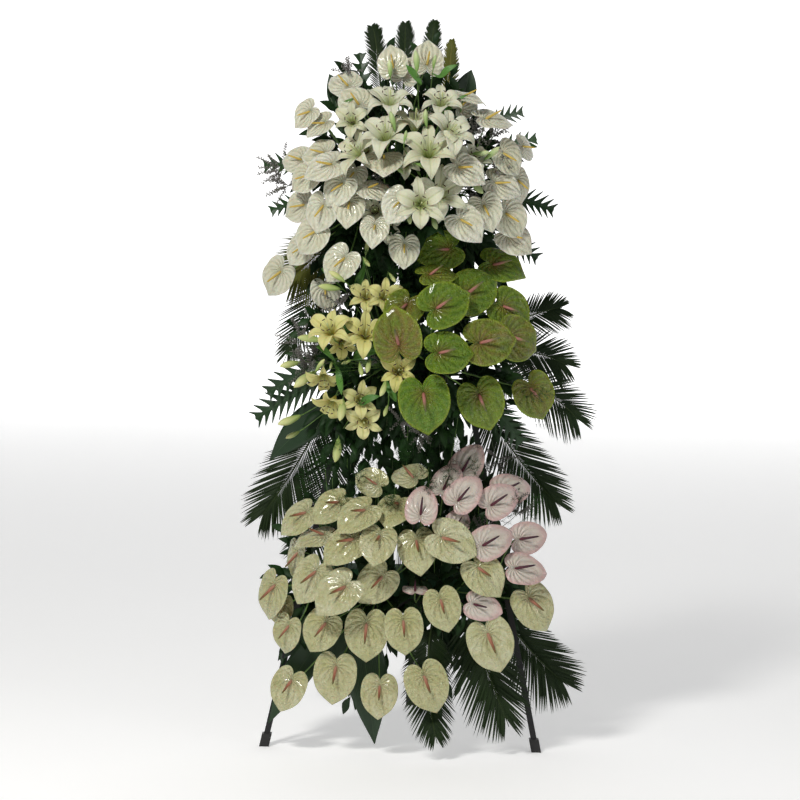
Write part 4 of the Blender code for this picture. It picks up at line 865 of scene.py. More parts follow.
def addAnthurium(sheaf, flower, kind, face, index, total, rng):
    columns = spathe["columns"]
    bearing = (np.arange(columns) / columns) * 360.0 - 180.0
    edge = through(bearings, edges[kind], np.abs(bearing))
    between = np.linspace(*spathe["inner"], spathe["rings"] - 3)
    out = np.concatenate([[spathe["neck"]], between, spathe["outer"]])
    reach = out[:, None] * edge[None, :]
    turn = np.radians(bearing)[None, :]
    x, y = reach * np.sin(turn), reach * np.cos(turn)
    side = np.abs(bearing)[None, :] / 180.0
    field = (side + veinBend["share"] * out[:, None] ** veinBend["power"]) * spatheLooks[kind]["veins"]
    phase = rng.uniform(0, fullTurn)
    z = -dome["cup"] * (x * x + y * y)
    pillow = 1.0 - np.abs(np.cos(math.pi * field)) ** 3          # low on each vein
    inner, outer = spathe["quiltRise"]
    z += spathe["quilt"] * pillow * (out * (1 - out) * (inner + outer * out))[:, None]
    z += rng.uniform(0.0, spathe["fold"]) * np.abs(x) + rng.uniform(-1, 1) * spathe["lean"] * x
    lump = rng.uniform(0, fullTurn)
    wavesX, wavesY = spathe["crumpleWaves"]
    z += spathe["crumple"] * np.sin(wavesX * x + lump) * np.sin(wavesY * y + 2 * lump)
    ripples = np.sin(spathe["ripples"] * turn + phase)
    z += spathe["ripple"] * rng.uniform(0.5, 1.3) * ripples * (out ** 3)[:, None]
    z += (spathe["lobeLift"] * rng.uniform(0.5, 1.4) * np.clip(side - spathe["lobeFrom"], 0, 1) ** 1.3
          * out[:, None])
    point = np.exp(-(bearing / spathe["tipWide"]) ** 2)
    z -= spathe["tipCurl"] * rng.uniform(0.0, 1.4) * point[None, :] * (out ** 4)[:, None]
    grid = flower.spread(x, y, z)
    points, faces = shell(grid, spathe["thick"], closed=True)
    tint = rng.random()
    if kind == "green":
        # the olive of the bloom at (-3, 106) is painted shade; the other entries are the blooms' own colour
        tint = oliveAndShadeTints.get((round(flower.side * 100), round(flower.up * 100)), youngShare * tint)
    sheaf.add(kind + "Spathe", points, faces, *leafMarks(out, side[0]), tint)

    rise = math.radians(spadix["rise"])
    way = flower.tip * math.cos(rise) + flower.facing * math.sin(rise)
    long = spadix["length"] * flower.length
    wide = max(spadix["least"], spadix["width"] * flower.length)
    bend = flower.facing.cross(flower.across) * long * spadix["bend"] * rng.uniform(-1.0, 1.5)
    share = np.linspace(0.0, 1.0, spadix["rings"])
    foot = flower.at(z=spadix["foot"])
    line = [foot + way * long * s + bend * math.sin(math.pi * s * 0.5) ** 2 for s in share]
    radii = wide * through(*spadix["profile"], share)
    sheaf.add(kind + "Spadix", *tube(line, radii, spadix["sides"]), tint)

    foot = flower.at(z=spathe["foot"])
    addStem(sheaf, foot, foot - flower.facing * spathe["knee"], face, index, total, tint)


# Lilies

lilyShape = {"rows": 17, "columns": 11, "thick": 0.0007, "gutter": 0.62, "ruffle": 0.030, "ruffles": 14,
             "curl": 0.03, "twist": 0.05, "innerWide": 1.10, "outerWide": 0.72, "outerBack": 0.018,
             "loose": 8, "foot": -0.41, "knee": 0.03,
             "knots": (0.0, 0.18, 0.38, 0.60, 0.82, 1.0),        # the rest are at these shares of a petal
             "radius": (0.025, 0.075, 0.165, 0.36, 0.54, 0.64),
             "height": (-0.415, -0.28, -0.13, 0.01, 0.01, -0.09),
             "droops": (0, 0, 0, 0, 1, 3),
             "width": (0.022, 0.055, 0.130, 0.180, 0.110, 0.004)}
# the way of a filament is (share of its reach, share of its rise)
stamen = {"reach": 0.17, "rise": 0.16, "root": 0.36, "radius": 0.0006, "pale": 0.6, "dark": 0.85,
          "way": ((0.1, 0.0), (0.35, 0.45), (0.7, 0.8), (1.0, 1.0)),
          "anther": 0.011, "antherRadius": 0.0013, "antherEnds": (-1.0, -0.6, 0.0, 0.6, 1.0),
          "antherProfile": (0.3, 0.9, 1, 0.9, 0.3),
          "pistil": ((0.0, 0.0, -0.38), (0.01, 0.0, -0.1), (0.03, 0.01, 0.22)), "pistilRadius": 0.0011,
          "pistilProfile": (1.6, 1.2, 1, 1, 1, 1, 1, 2.2, 1.6), "flute": 0.12}


def addLily(sheaf, flower, kind, face, index, total, rng):
    shape = lilyShape
    s = np.linspace(0.0, 1.0, shape["rows"])
    u = np.linspace(-1.0, 1.0, shape["columns"])
    tint = rng.random()
    for i in range(6):
        inner = i % 2 == 0
        turn = math.radians(60 * i + 30 + rng.uniform(-shape["loose"], shape["loose"]))
        knots = shape["knots"]
        droop = rng.uniform(-1.0, 1.6) * shape["curl"]
        radius = through(knots, shape["radius"], s) * rng.uniform(0.90, 1.06)
        height = through(knots, np.array(shape["height"]) - droop * np.array(shape["droops"]), s)
        if not inner:
            height = height - shape["outerBack"]
        wide = through(knots, shape["width"], s)
        wide *= shape["innerWide"] if inner else shape["outerWide"]
        phase = rng.uniform(0, fullTurn)
        side = wide[:, None] * u[None, :]
        lift = shape["gutter"] * side ** 2 / (wide[:, None] + 0.02) * (1 - s[:, None] * 0.6)
        waves = np.sin(shape["ruffles"] * s[:, None] + phase + 2 * np.sign(u)[None, :])
        lift = lift + shape["ruffle"] * waves * np.abs(u[None, :]) ** 3 * (s * (1 - s) * 4)[:, None]
        r = radius[:, None] - lift * 0.25
        x = r * math.cos(turn) - side * math.sin(turn)
        y = r * math.sin(turn) + side * math.cos(turn)
        twist = rng.uniform(-1, 1) * shape["twist"] * s[:, None] ** 2 * u[None, :]
        grid = flower.spread(x, y, height[:, None] + lift * 0.8 + twist)
        sheaf.add(kind + "Petal", *shell(grid[:, ::-1], shape["thick"]), *leafMarks(s, u[::-1]), tint)
    for i in range(6):
        turn = math.radians(60 * i + rng.uniform(-shape["loose"], shape["loose"]))
        reach, rise = stamen["reach"] * rng.uniform(0.85, 1.1), stamen["rise"] * rng.uniform(0.8, 1.1)
        root = stamen["root"]
        ends = [flower.at(k * reach * math.cos(turn), k * reach * math.sin(turn), -root + (rise + root) * h)
                for k, h in stamen["way"]]
        filament = routeThrough(ends, 7)
        sheaf.addTube("stamens", filament, [stamen["radius"]] * 7, 5, 0.0, 0.0, stamen["pale"], tint)
        across = (flower.across * -math.sin(turn) + flower.tip * math.cos(turn)) * stamen["anther"] / 2
        anther = [ends[-1] + across * k for k in stamen["antherEnds"]]
        radii = [stamen["antherRadius"] * k for k in stamen["antherProfile"]]
        sheaf.addTube("stamens", anther, radii, 6, 0.0, stamen["dark"], 0.0, tint)
    radii = stamen["pistilRadius"] * np.array(stamen["pistilProfile"])
    line = routeThrough([flower.at(*spot) for spot in stamen["pistil"]], len(radii))
    sheaf.addTube("stamens", line, radii, 8, stamen["flute"], 0.0, stamen["pale"], tint)
    foot = flower.at(z=shape["foot"])
    addStem(sheaf, foot, foot - flower.facing * shape["knee"], face, index, total, tint)


budShape = {"rings": 14, "sides": 15, "flute": 0.07, "width": 0.15, "tip": 0.94, "facing": 0.34, "bow": 0.04,
            "foot": 0.49, "profile": ((0, 0.06, 0.3, 0.62, 0.85, 0.96, 1.0),
                                      (0.25, 0.42, 0.80, 1.0, 0.66, 0.26, 0.06))}


def addBud(sheaf, flower, kind, face, index, total, rng):
    way = (flower.tip * budShape["tip"] + flower.facing * budShape["facing"]).normalized()
    centre, long = flower.at(), flower.length
    share = np.linspace(0.0, 1.0, budShape["rings"])
    bow = flower.across * long * rng.uniform(-budShape["bow"], budShape["bow"])
    line = [centre + way * long * (s - 0.5) + bow * math.sin(math.pi * s) for s in share]
    radii = long * budShape["width"] * through(*budShape["profile"], share)
    sheaf.add(kind + "Bud", *tube(line, radii, budShape["sides"], budShape["flute"]), rng.random())
    foot = centre - way * long * budShape["foot"]
    knee = foot - way * 0.012 + Vector((0, 0.02, 0))
    addStem(sheaf, foot, knee, face, index, total, rng.random(), stems["budRadius"])


makers = {"anthurium": addAnthurium, "lily": addLily, "bud": addBud}
sheaves = {}
for table in (anthuriums, lilies):
    for group, row in table.items():
        rng = random.Random("dressed " + group)
        sheaf = Sheaf()
        members = [flower for flower in flowers if flower.group == group]
        face = faceSpot(row[1], row[2], row[3])
        for index, flower in enumerate(members):
            makers[flower.kind](sheaf, flower, row[0].split("_")[0], face, index, len(members), rng)
        sheaves[group] = (sheaf, row[0])
print("flowers made")


# Leaf blades of the lilies: side and up of foot and tip, bright green, each from a stem

lilyBlades = {
    "lily_white_left": [(-20.2, 168.4, -16.3, 171.9), (-5.2, 160.4, -11.7, 164.0)],
    "lily_white_crown": [(1.2, 175.7, -2.7, 181.0), (6.3, 178.0, 11.1, 181.3)],
    "lily_white_centre": [(8.6, 169.7, 14.2, 173.5)],
    "lily_yellow_upper": [(-23.2, 126.0, -18, 123), (-22.4, 111.4, -15.7, 108.7),
                          (-12.7, 127.0, -15.1, 118.9), (-14.6, 102.3, -5.9, 104.7)],
    "lily_yellow_lower": [(-24.8, 105.5, -19.7, 100.9), (-19.4, 99.3, -18.0, 92.0),
                          (-5.7, 95.0, -3.2, 90.4), (-12.7, 90.1, -7.6, 92.0)],
}
bladeShape = {"rows": 11, "columns": 5, "width": 0.0085, "thick": 0.0005, "fold": 0.35, "ahead": 0.02,
              "lift": 0.015, "look": Vector((0.0, -1.0, 0.3)),
              "profile": ((0, 0.2, 0.55, 0.85, 1.0), (0.14, 0.35, 1.0, 0.62, 0.04))}


def ribbon(route, rows, half, columns, fold, thick, look, twist=0.0):
    # A leaf along a route: half widths at each row, folded up at its edges. Returns its shell
    # and the marks along and across it.
    line = routeThrough(route, rows)
    ahead = np.gradient(line, axis=0)
    ahead /= np.linalg.norm(ahead, axis=1, keepdims=True) + 1e-12
    look = np.array(tuple(look), float)
    facing = look[None, :] - ahead * (ahead @ look)[:, None]
    facing /= np.linalg.norm(facing, axis=1, keepdims=True) + 1e-12
    across = np.cross(ahead, facing)
    if twist:
        turn = np.linspace(0.0, twist, rows)[:, None]
        across, facing = (across * np.cos(turn) + facing * np.sin(turn),
                          facing * np.cos(turn) - across * np.sin(turn))
    u = np.linspace(-1.0, 1.0, columns)
    half = np.asarray(half, float)[:, None, None]
    grid = line[:, None, :] + across[:, None, :] * half * u[None, :, None]
    grid = grid + facing[:, None, :] * half * fold * (u ** 2)[None, :, None]
    return *shell(grid, thick), *leafMarks(np.linspace(0, 1, rows), u)


for group, rows in lilyBlades.items():
    sheaf = sheaves[group][0]
    tier = lilies[group][1]
    rng = random.Random("blades " + group)
    lines = [line for line, owner in stemRoutes if owner is sheaf]
    for footSide, footUp, tipSide, tipUp in rows:
        out = domeOut(tier, footSide / 100, footUp / 100) + bladeShape["ahead"]
        foot = place(footSide / 100, footUp / 100, out)
        tip = place(tipSide / 100, tipUp / 100, out + bladeShape["lift"])
        near = min((Vector(spot) for line in lines for spot in line[:9]), key=lambda s: (s - foot).length)
        share = np.linspace(0.0, 1.0, bladeShape["rows"])
        half = bladeShape["width"] * rng.uniform(0.9, 1.3) * through(*bladeShape["profile"], share)
        middle = foot.lerp(tip, 0.5) + Vector((0, -0.006, 0.004))
        leaf = ribbon((near, foot, middle, tip), bladeShape["rows"], half, bladeShape["columns"],
                      bladeShape["fold"], bladeShape["thick"], bladeShape["look"])
        sheaf.add("lilyLeaf", *leaf, rng.random())
for group, (sheaf, slot) in sheaves.items():
    sheaf.make("dressed_" + group, slot, [group])
print("bunches dressed:", len(sheaves))


# Palm fronds

rachis = {"radius": 0.0034, "thinner": 0.72, "rings": 17, "sides": 7, "peg": 0.030, "pegRadius": 0.0042}
leaflet = {"fan": 4, "rows": 7, "width": 0.0025, "thick": 0.0004, "fold": 0.55, "bare": 0.22, "last": 0.97,
           "shortest": 0.35, "swell": (0.15, 0.72), "bow": (0.03, 0.09), "look": Vector((0.0, -1.0, 0.25)),
           "droop": Vector((0.0, 0.10, -0.16)), "swept": 58, "sweptLess": 26, "longest": 14,
           "tipFrom": 0.72, "tipSwept": 0.5, "tipShort": 0.35,
           "profile": ((0, 0.12, 0.4, 0.75, 1.0), (0.45, 0.8, 1.0, 0.72, 0.06))}
golden = {"fronds": ("frond_left_1", "frond_top_4"), "reach": 1.3}
# the fronds that stand upright at the top: more, steeper leaflets, the lowest ones the longest
upper = {"more": 1, "swept": 0.72, "reach": 1.38, "shorter": 0.62, "least": 0.84}


def curveAt(route, share):
    start, bend, end = route
    return start * (1 - share) ** 2 + bend * 2 * share * (1 - share) + end * share ** 2


def directions(route, share, look):
    here = curveAt(route, share)
    ahead = (curveAt(route, share + 0.01) - here).normalized()
    facing = (look - ahead * look.dot(ahead)).normalized()
    return here, ahead.cross(facing), facing, ahead


for name, (tier, face, offset, bend, tip, longest, pairs) in fronds.items():
    sheaf = Sheaf()
    paint = "goldenPalm" if name in golden["fronds"] else "palm"
    spot, way = faceSpot(tier, face, offset)
    start = spot + way * rachis["peg"]
    bend, tip = placeAt(bend), placeAt(tip)
    route = (start, bend * 2 - (start + tip) / 2, tip)
    rng, extra = random.Random(name), random.Random("fine " + name)
    ends = {-1: [], 1: []}
    for k in range(pairs):
        share = leaflet["bare"] + (leaflet["last"] - leaflet["bare"]) * k / pairs
        here, across, facing, ahead = directions(route, share, leaflet["look"])
        least, more = leaflet["swell"]
        swell = leaflet["shortest"] + 0.65 * math.sin(math.pi * (least + more * k / (pairs - 1)))
        for sign in (-1, 1):
            swept = math.radians(leaflet["swept"] - leaflet["sweptLess"] * k / pairs + rng.uniform(-3, 3))
            reach = longest / 100 * swell * rng.uniform(0.93, 1.05)
            ends[sign].append((share, swept, reach))
    tint = extra.random()
    line = [spot - way * rachis["peg"] * 0.9, spot, start]
    line += [curveAt(route, s) for s in np.linspace(0.08, 1.0, rachis["rings"])]
    shares = np.linspace(0.0, 1.0, rachis["rings"])
    thick = [rachis["pegRadius"]] * 3 + [rachis["radius"] * (1.0 - rachis["thinner"] * s) for s in shares]
    points, faces, along, around = tube(line, thick, rachis["sides"])
    sheaf.add(paint, points, faces, along, 0.02 + 0 * around, 1.0)
    upright = name.startswith("frond_top")
    fan = leaflet["fan"] + (upper["more"] if upright else 0)
    for sign in (-1, 1):
        for j in range(fan * (pairs - 1) + 2):
            k, part = divmod(j, fan)
            first, second = ends[sign][min(k, pairs - 1)], ends[sign][min(k + 1, pairs - 1)]
            part = part / fan if k < pairs - 1 else 0.4 * (j - fan * (pairs - 1))
            share = first[0] + ((second[0] - first[0]) if k < pairs - 1 else 0.03) * part
            swept = first[1] + (second[1] - first[1]) * part + math.radians(extra.uniform(-2.5, 2.5))
            reach = first[2] + (second[2] - first[2]) * part
            reach *= extra.uniform(upper["least"] if upright else 0.92, 1.05)
            nearTip = max(0.0, (share - leaflet["tipFrom"]) / 0.28)
            swept *= (upper["swept"] if upright else 1.0) * (1.0 - leaflet["tipSwept"] * nearTip)
            reach *= upper["reach"] - upper["shorter"] * share if upright else 1.0
            reach *= 1.0 - leaflet["tipShort"] * nearTip ** 2
            reach *= golden["reach"] if paint == "goldenPalm" and not upright else 1.0
            here, across, facing, ahead = directions(route, share, leaflet["look"])
            wayOut = across * sign * math.sin(swept) + ahead * math.cos(swept)
            end = here + (wayOut + leaflet["droop"]) * reach
            middle = here.lerp(end, 0.5) + facing * reach * extra.uniform(*leaflet["bow"])
            half = leaflet["width"] * (0.50 + 0.50 * longest / leaflet["longest"]) * through(
                *leaflet["profile"], np.linspace(0, 1, leaflet["rows"]))
            sheaf.add(paint, *ribbon((here, middle, end), leaflet["rows"], half, 3, leaflet["fold"],
                                     leaflet["thick"], facing, extra.uniform(-0.3, 0.3)),
                      min(1.0, max(0.0, tint + extra.uniform(-0.3, 0.3))))
    sheaf.make("dressed_" + name, "palm", [name])
print("fronds made:", len(fronds))


# Broad leaves

blade = {"look": Vector((0.0, -1.0, 0.30)), "arch": Vector((0.0, -0.06, 0.10)), "thick": 0.0006, "columns": 9,
         "lobeRows": 10, "plainRows": 21, "lobeSweep": 0.85, "plainSweep": 0.10, "firstLobe": 0.35,
         "lobeSwell": (0.26, 0.60), "lobeReach": (0.16, 0.92), "wave": 0.035, "waves": 9, "fold": 0.16,
         "petiole": (0.0008, 0.0022), "petioleRings": 18,
         "profile": ((0, 0.22, 0.48, 0.76, 1.0), (0.08, 0.80, 1.0, 0.62, 0.015))}


def addBroadLeaf(sheaf, foot, tip, width, lobes, face, index, total, rng):
    bend = (foot + tip) / 2 + blade["arch"] * (tip - foot).length
    route = (foot, bend, tip)
    half = width / 200
    rows = blade["lobeRows"] * lobes + 1 if lobes else blade["plainRows"]
    phase, tint = rng.uniform(0, fullTurn), rng.random()
    u = np.linspace(-1.0, 1.0, blade["columns"])
    lines = []
    for s in np.linspace(0.0, 1.0, rows):
        here, across, facing, ahead = (np.array(tuple(v)) for v in directions(route, s, blade["look"]))
        if lobes:
            ripe = s * lobes - blade["firstLobe"]        # lobe tips stand at whole numbers
            first, more = blade["lobeSwell"]
            swell = math.sin(math.pi * (first + more * s)) * half
            notch = 1.0 - abs(2 * (ripe % 1.0) - 1.0)    # 1 half-way between the tips
            least, more = blade["lobeReach"]
            reach = swell * (least + more * (1.0 - notch) ** 1.5) if s < 0.95 else swell * (1.0 - s) * 8
            reach *= min(1.0, s * 8 + 0.12)
            sweep = blade["lobeSweep"]
        else:
            reach = half * float(through(*blade["profile"], np.array([s]))[0])
            sweep = blade["plainSweep"]
        side = np.abs(u)[:, None]
        wave = blade["wave"] * math.sin(blade["waves"] * s + phase) * side ** 2 * np.sign(u)[:, None]
        lines.append(here + across * reach * u[:, None] + ahead * reach * sweep * side
                     + facing * (reach * blade["fold"] * side + half * wave))
    share = np.linspace(0.0, 1.0, rows) * (lobes or 1) - (blade["firstLobe"] if lobes else 0.0)
    paint = "lobed" if lobes else "broad"
    sheaf.add(paint, *shell(np.array(lines), blade["thick"]), *leafMarks(share, u), tint)
    spot, way = bundleSpot(face, index, total)
    ahead = (curveAt(route, 0.06) - foot).normalized()
    line = routeThrough([curveAt(route, 0.5) - Vector((0, -0.0012, 0)), foot, foot - ahead * 0.02,
                         spot + way * stems["plugOut"], spot, spot - way * stems["plugIn"]],
                        blade["petioleRings"])
    sheaf.add("stem", *tube(line, np.linspace(*blade["petiole"], blade["petioleRings"]), 7), tint)


for name, (tier, side, offset, rows) in leaves.items():
    sheaf = Sheaf()
    rng = random.Random("dressed " + name)
    for index, (foot, tip, width, lobes) in enumerate(rows):
        lobes *= 2                                       # the frame has every second lobe
        face = faceSpot(tier, side, offset)
        addBroadLeaf(sheaf, placeAt(foot), placeAt(tip), width, lobes, face, index, len(rows), rng)
    sheaf.make("dressed_" + name, "leaf", [name])
print("broad leaves made")


# Filling greens, behind and between the flowers

filler = {"sprays": {"low": 90, "middle": 76, "top": 90},
          "reach": (0.50, 0.86), "within": 0.90, "narrow": 0.80,
          "spiral": 2.39996, "behind": 0.02, "shoulder": (0.14, 1.62), "drawnIn": 0.78,
          "twig": (0.0016, 0.0006), "rings": 14, "knee": 0.05, "bare": 0.34,
          "leaves": 9, "length": 0.058, "wide": 0.19, "rows": 7, "fold": 0.25, "thick": 0.0004, "drop": 0.12,
          "aside": 0.75, "ahead": (0.5, 0.8), "lean": Vector((0, -0.12, 0.1)),
          "arch": Vector((0, -0.04, 0.08)),
          "profile": ((0, 0.12, 0.42, 0.75, 1.0), (0.08, 0.35, 1.0, 0.6, 0.03))}
foamSkin = {"inset": 0.01, "above": 0.10}
# more of it where one tier meets the next: side from and to, up from and to, sprays
thickets = {
    "low": ((-22, 22, 66, 80, 26),),
    "middle": ((-20, 16, 70, 86, 26), (-20, 14, 114, 131, 34)),
    "top": ((-26, 22, 120, 140, 36), (-20, 12, 140, 176, 26)),
}


def foamStart(tier, side, up, rng):
    # a spot on the foam's skin that looks towards a spot of the dome
    low, high = foamBox(tier)
    goal = place(side, up, 0.0)
    inset, above = foamSkin["inset"], foamSkin["above"]
    spot = Vector([min(max(g, a + inset), b - inset) for g, a, b in zip(goal, low, high)])
    if goal.z > high.z + above and abs(goal.x - (low.x + high.x) / 2) < (high.x - low.x):
        spot.y, spot.z = rng.uniform(low.y, high.y), high.z
        return spot, Vector((0, 0, 1))
    if low.x <= goal.x <= high.x:
        spot.x, spot.y = goal.x, low.y
        return spot, Vector((0, -1, 0))
    spot.x, spot.y = low.x if goal.x < low.x else high.x, rng.uniform(low.y + inset, high.y - inset)
    return spot, Vector((-1 if goal.x < low.x else 1, 0, 0))


def turned(way, turn):
    # a direction square to a way, turned about it
    side = way.orthogonal().normalized()
    return side * math.cos(turn) + way.cross(side) * math.sin(turn)


def addSpray(sheaf, tier, side, up, rng):
    # A twig with ovate leaves all round it, bending from the foam to its goal.
    goal = place(side, up, domeOut(tier, side, up, rng.uniform(*filler["reach"])) - filler["behind"])
    spot, way = foamStart(tier, side, up, rng)
    knee, last = spot + way * filler["knee"], filler["rings"] - 1
    middle = knee.lerp(goal, 0.5) + Vector((0, 0.01, 0.01))
    line = routeThrough((spot - way * sunk, spot + way * 0.01, knee, middle, goal), filler["rings"])
    sheaf.add("twig", *tube(line, np.linspace(*filler["twig"], filler["rings"]), 5), rng.random())
    turn = rng.uniform(0, fullTurn)
    for k in range(filler["leaves"]):
        share = filler["bare"] + 0.66 * k / (filler["leaves"] - 1)
        at = int(share * last)
        foot = Vector(line[at])
        ahead = Vector(line[min(last, at + 1)]) - Vector(line[max(0, at - 1)])
        ahead.normalize()
        turn += leafTurn
        side = turned(ahead, turn)
        first, more = filler["ahead"]
        wayOut = (side * filler["aside"] + ahead * (first + share * more) + filler["lean"]).normalized()
        long = filler["length"] * rng.uniform(0.7, 1.25)
        tip = foot + wayOut * long + Vector((0, 0, -filler["drop"] * long))
        middle = foot.lerp(tip, 0.5) + filler["arch"] * long
        half = long * filler["wide"] * through(*filler["profile"], np.linspace(0, 1, filler["rows"]))
        sheaf.add("filler", *ribbon((foot, middle, tip), filler["rows"], half, 3, filler["fold"],
                                    filler["thick"], Vector((side.x * 0.2, -1, 0.5))), rng.random())


for tier in tiers:
    sheaf = Sheaf()
    rng = random.Random("filler " + tier)
    middleSide, middleUp, wide, high, _ = tiers[tier]["dome"]
    for k in range(filler["sprays"][tier]):
        turn = k * filler["spiral"] + rng.uniform(-0.3, 0.3)
        far = math.sqrt((k + 0.5) / filler["sprays"][tier]) * filler["within"]
        side = middleSide + wide * far * math.cos(turn) * filler["narrow"]
        up = middleUp + high * far * math.sin(turn)
        if side > filler["shoulder"][0] and up > filler["shoulder"][1]:    # no bloom hides a tip up there
            side = middleSide + (side - middleSide) * filler["drawnIn"]
            up = middleUp + (up - middleUp) * filler["drawnIn"]
        addSpray(sheaf, tier, side, up, rng)
    for left, right, under, over, count in thickets[tier]:
        for _ in range(count):
            side, up = rng.uniform(left, right) / 100, rng.uniform(under, over) / 100
            addSpray(sheaf, tier, side, up, rng)
    sheaf.make("filler_" + tier, "leaf")
print("filler made")


# Asparagus fern: plumes of fine needles (side, up, metres out past the dome)

plumes = {
    "low": [
        (-18, 69.6, -0.04), (-2.9, 58.6, -0.03), (9.0, 59.4, -0.03), (13, 76, -0.08), (-20, 69.5, 0.0),
        (-5, 57, -0.02), (5, 63, -0.02), (9, 79, -0.07), (25, 58, -0.06), (33, 60, -0.05), (3, 34, -0.05),
        (17, 70, -0.07), (-26, 62, -0.06), (-22, 72, -0.05), (-16, 75, -0.04), (-11, 70, -0.05),
        (-8, 76, -0.05), (-14, 64, -0.05), (-24, 66, -0.03), (-3, 72, -0.05), (2, 66, -0.05),
        (0, 75, -0.06), (6, 73, -0.04), (14, 74, -0.05), (4, 62, -0.03), (20, 66, -0.05),
        (-18, 58, -0.04), (27, 66, -0.08), (-2, 52, -0.05), (8, 48, -0.04), (-12, 50, -0.06),
        (20, 50, -0.04),
    ],
    "middle": [
        (12, 76, 0.0), (0, 80, 0.0), (-16, 97, 0.02), (30, 92, 0.0), (-10, 124, -0.05), (-4, 120, -0.05),
        (2, 126, -0.05), (-14, 116, -0.05),
    ],
}
fern = {"long": 0.11, "droop": 0.014, "rings": 16, "stalk": (0.0014, 0.0007), "knee": 0.02,
        "spineRings": 12, "spine": (0.0007, 0.0003), "branches": 20, "branch": 0.040, "branchAhead": 0.7,
        "branchShorter": 0.6, "branchRadii": (0.0003, 0.00015), "needles": 12,
        "needle": 0.011, "needleAhead": 0.9, "needleRadii": (0.00045, 0.00045 * 0.4)}


def addPlume(sheaf, spot, way, goal, rng):
    knee = way * fern["knee"]
    line = routeThrough((spot - way * sunk, spot + knee, spot.lerp(goal, 0.5) + knee, goal), fern["rings"])
    sheaf.add("stem", *tube(line, np.linspace(*fern["stalk"], fern["rings"]), 5), rng.random())
    ahead = (Vector(line[-1]) - Vector(line[-3])).normalized()
    ahead = (ahead + Vector((rng.uniform(-0.5, 0.5), -0.4, rng.uniform(0.0, 0.8)))).normalized()
    tip = goal + ahead * fern["long"]
    drooped = tip + Vector((0, 0, -fern["droop"]))
    spine = routeThrough((goal, goal.lerp(tip, 0.5), drooped), fern["spineRings"])
    sheaf.add("fern", *tube(spine, np.linspace(*fern["spine"], fern["spineRings"]), 4), 0.6)
    tint = rng.random()
    for k in range(fern["branches"]):
        share = (k + 0.5) / fern["branches"]
        foot = goal.lerp(tip, share)
        reach = fern["branch"] * (1.0 - fern["branchShorter"] * share) * rng.uniform(0.8, 1.2)
        wayOut = (turned(ahead, k * leafTurn) + ahead * fern["branchAhead"]).normalized()
        end = foot + wayOut * reach
        sheaf.add("fern", *tube([foot, end], fern["branchRadii"], 3), tint)
        for j in range(fern["needles"]):
            root = foot.lerp(end, 0.1 + 0.9 * j / fern["needles"])
            flare = (turned(wayOut, j * leafTurn) + wayOut * fern["needleAhead"]).normalized()
            leaf = root + flare * fern["needle"] * rng.uniform(0.6, 1.1)
            sheaf.add("fern", *tube([root, leaf], fern["needleRadii"], 3),
                      min(1.0, tint + rng.uniform(0, 0.4)))


for tier, rows in plumes.items():
    sheaf = Sheaf()
    rng = random.Random("fern " + tier)
    for side, up, ahead in rows:
        side, up = side / 100, up / 100
        goal = place(side, up, domeOut(tier, side, up) + ahead)
        addPlume(sheaf, *foamStart(tier, side, up, rng), goal, rng)
    sheaf.make("fern_" + tier, "leaf")
print("fern made")


# Statice: side, up and reach of the spikes in centimetres, and the number of spikes

staticeHeads = {
    "low": [
        (21, 56, 4, 10), (30, 66, 3.5, 10), (31, 62, 4, 10), (-16, 52, 4, 8),
    ],
    "middle": [
        (-31, 106, 5, 12), (-27, 102, 5, 12), (-29, 99, 4.5, 12), (-20, 117, 4, 10), (-8, 102, 4, 8),
        (4, 80, 4, 10), (26, 73, 4, 10), (-2, 84, 4, 10),
    ],
    "top": [
        (-19.0, 180.5, 3.5, 12), (-38, 152, 5, 12), (-36, 148, 4.5, 12), (-9, 150, 4, 8),
        (5, 170, 3.5, 8), (17, 164, 4.5, 12), (22, 163, 4, 12), (23, 153, 4, 10), (-20, 142, 4, 8),
        (16, 148, 3.5, 8),
    ],
}
staticeCup = {"gap": 0.0024, "long": 0.0052, "wide": 0.0020, "turn": 2.1, "flute": 0.25,
              "ends": (0, 0.45, 1, 0.8), "profile": (0.25, 0.55, 1.0, 0.3)}
staticeStalk = {"stalk": (0.0013, 0.0008), "rings": 12, "knee": 0.03, "fork": 0.10,
                "spike": (0.0007, 0.0004), "spikeRings": 9, "arch": 0.003, "bare": 0.2,
                "past": {"low": -0.02, "middle": 0.015, "top": 0.015}}      # out past the dome


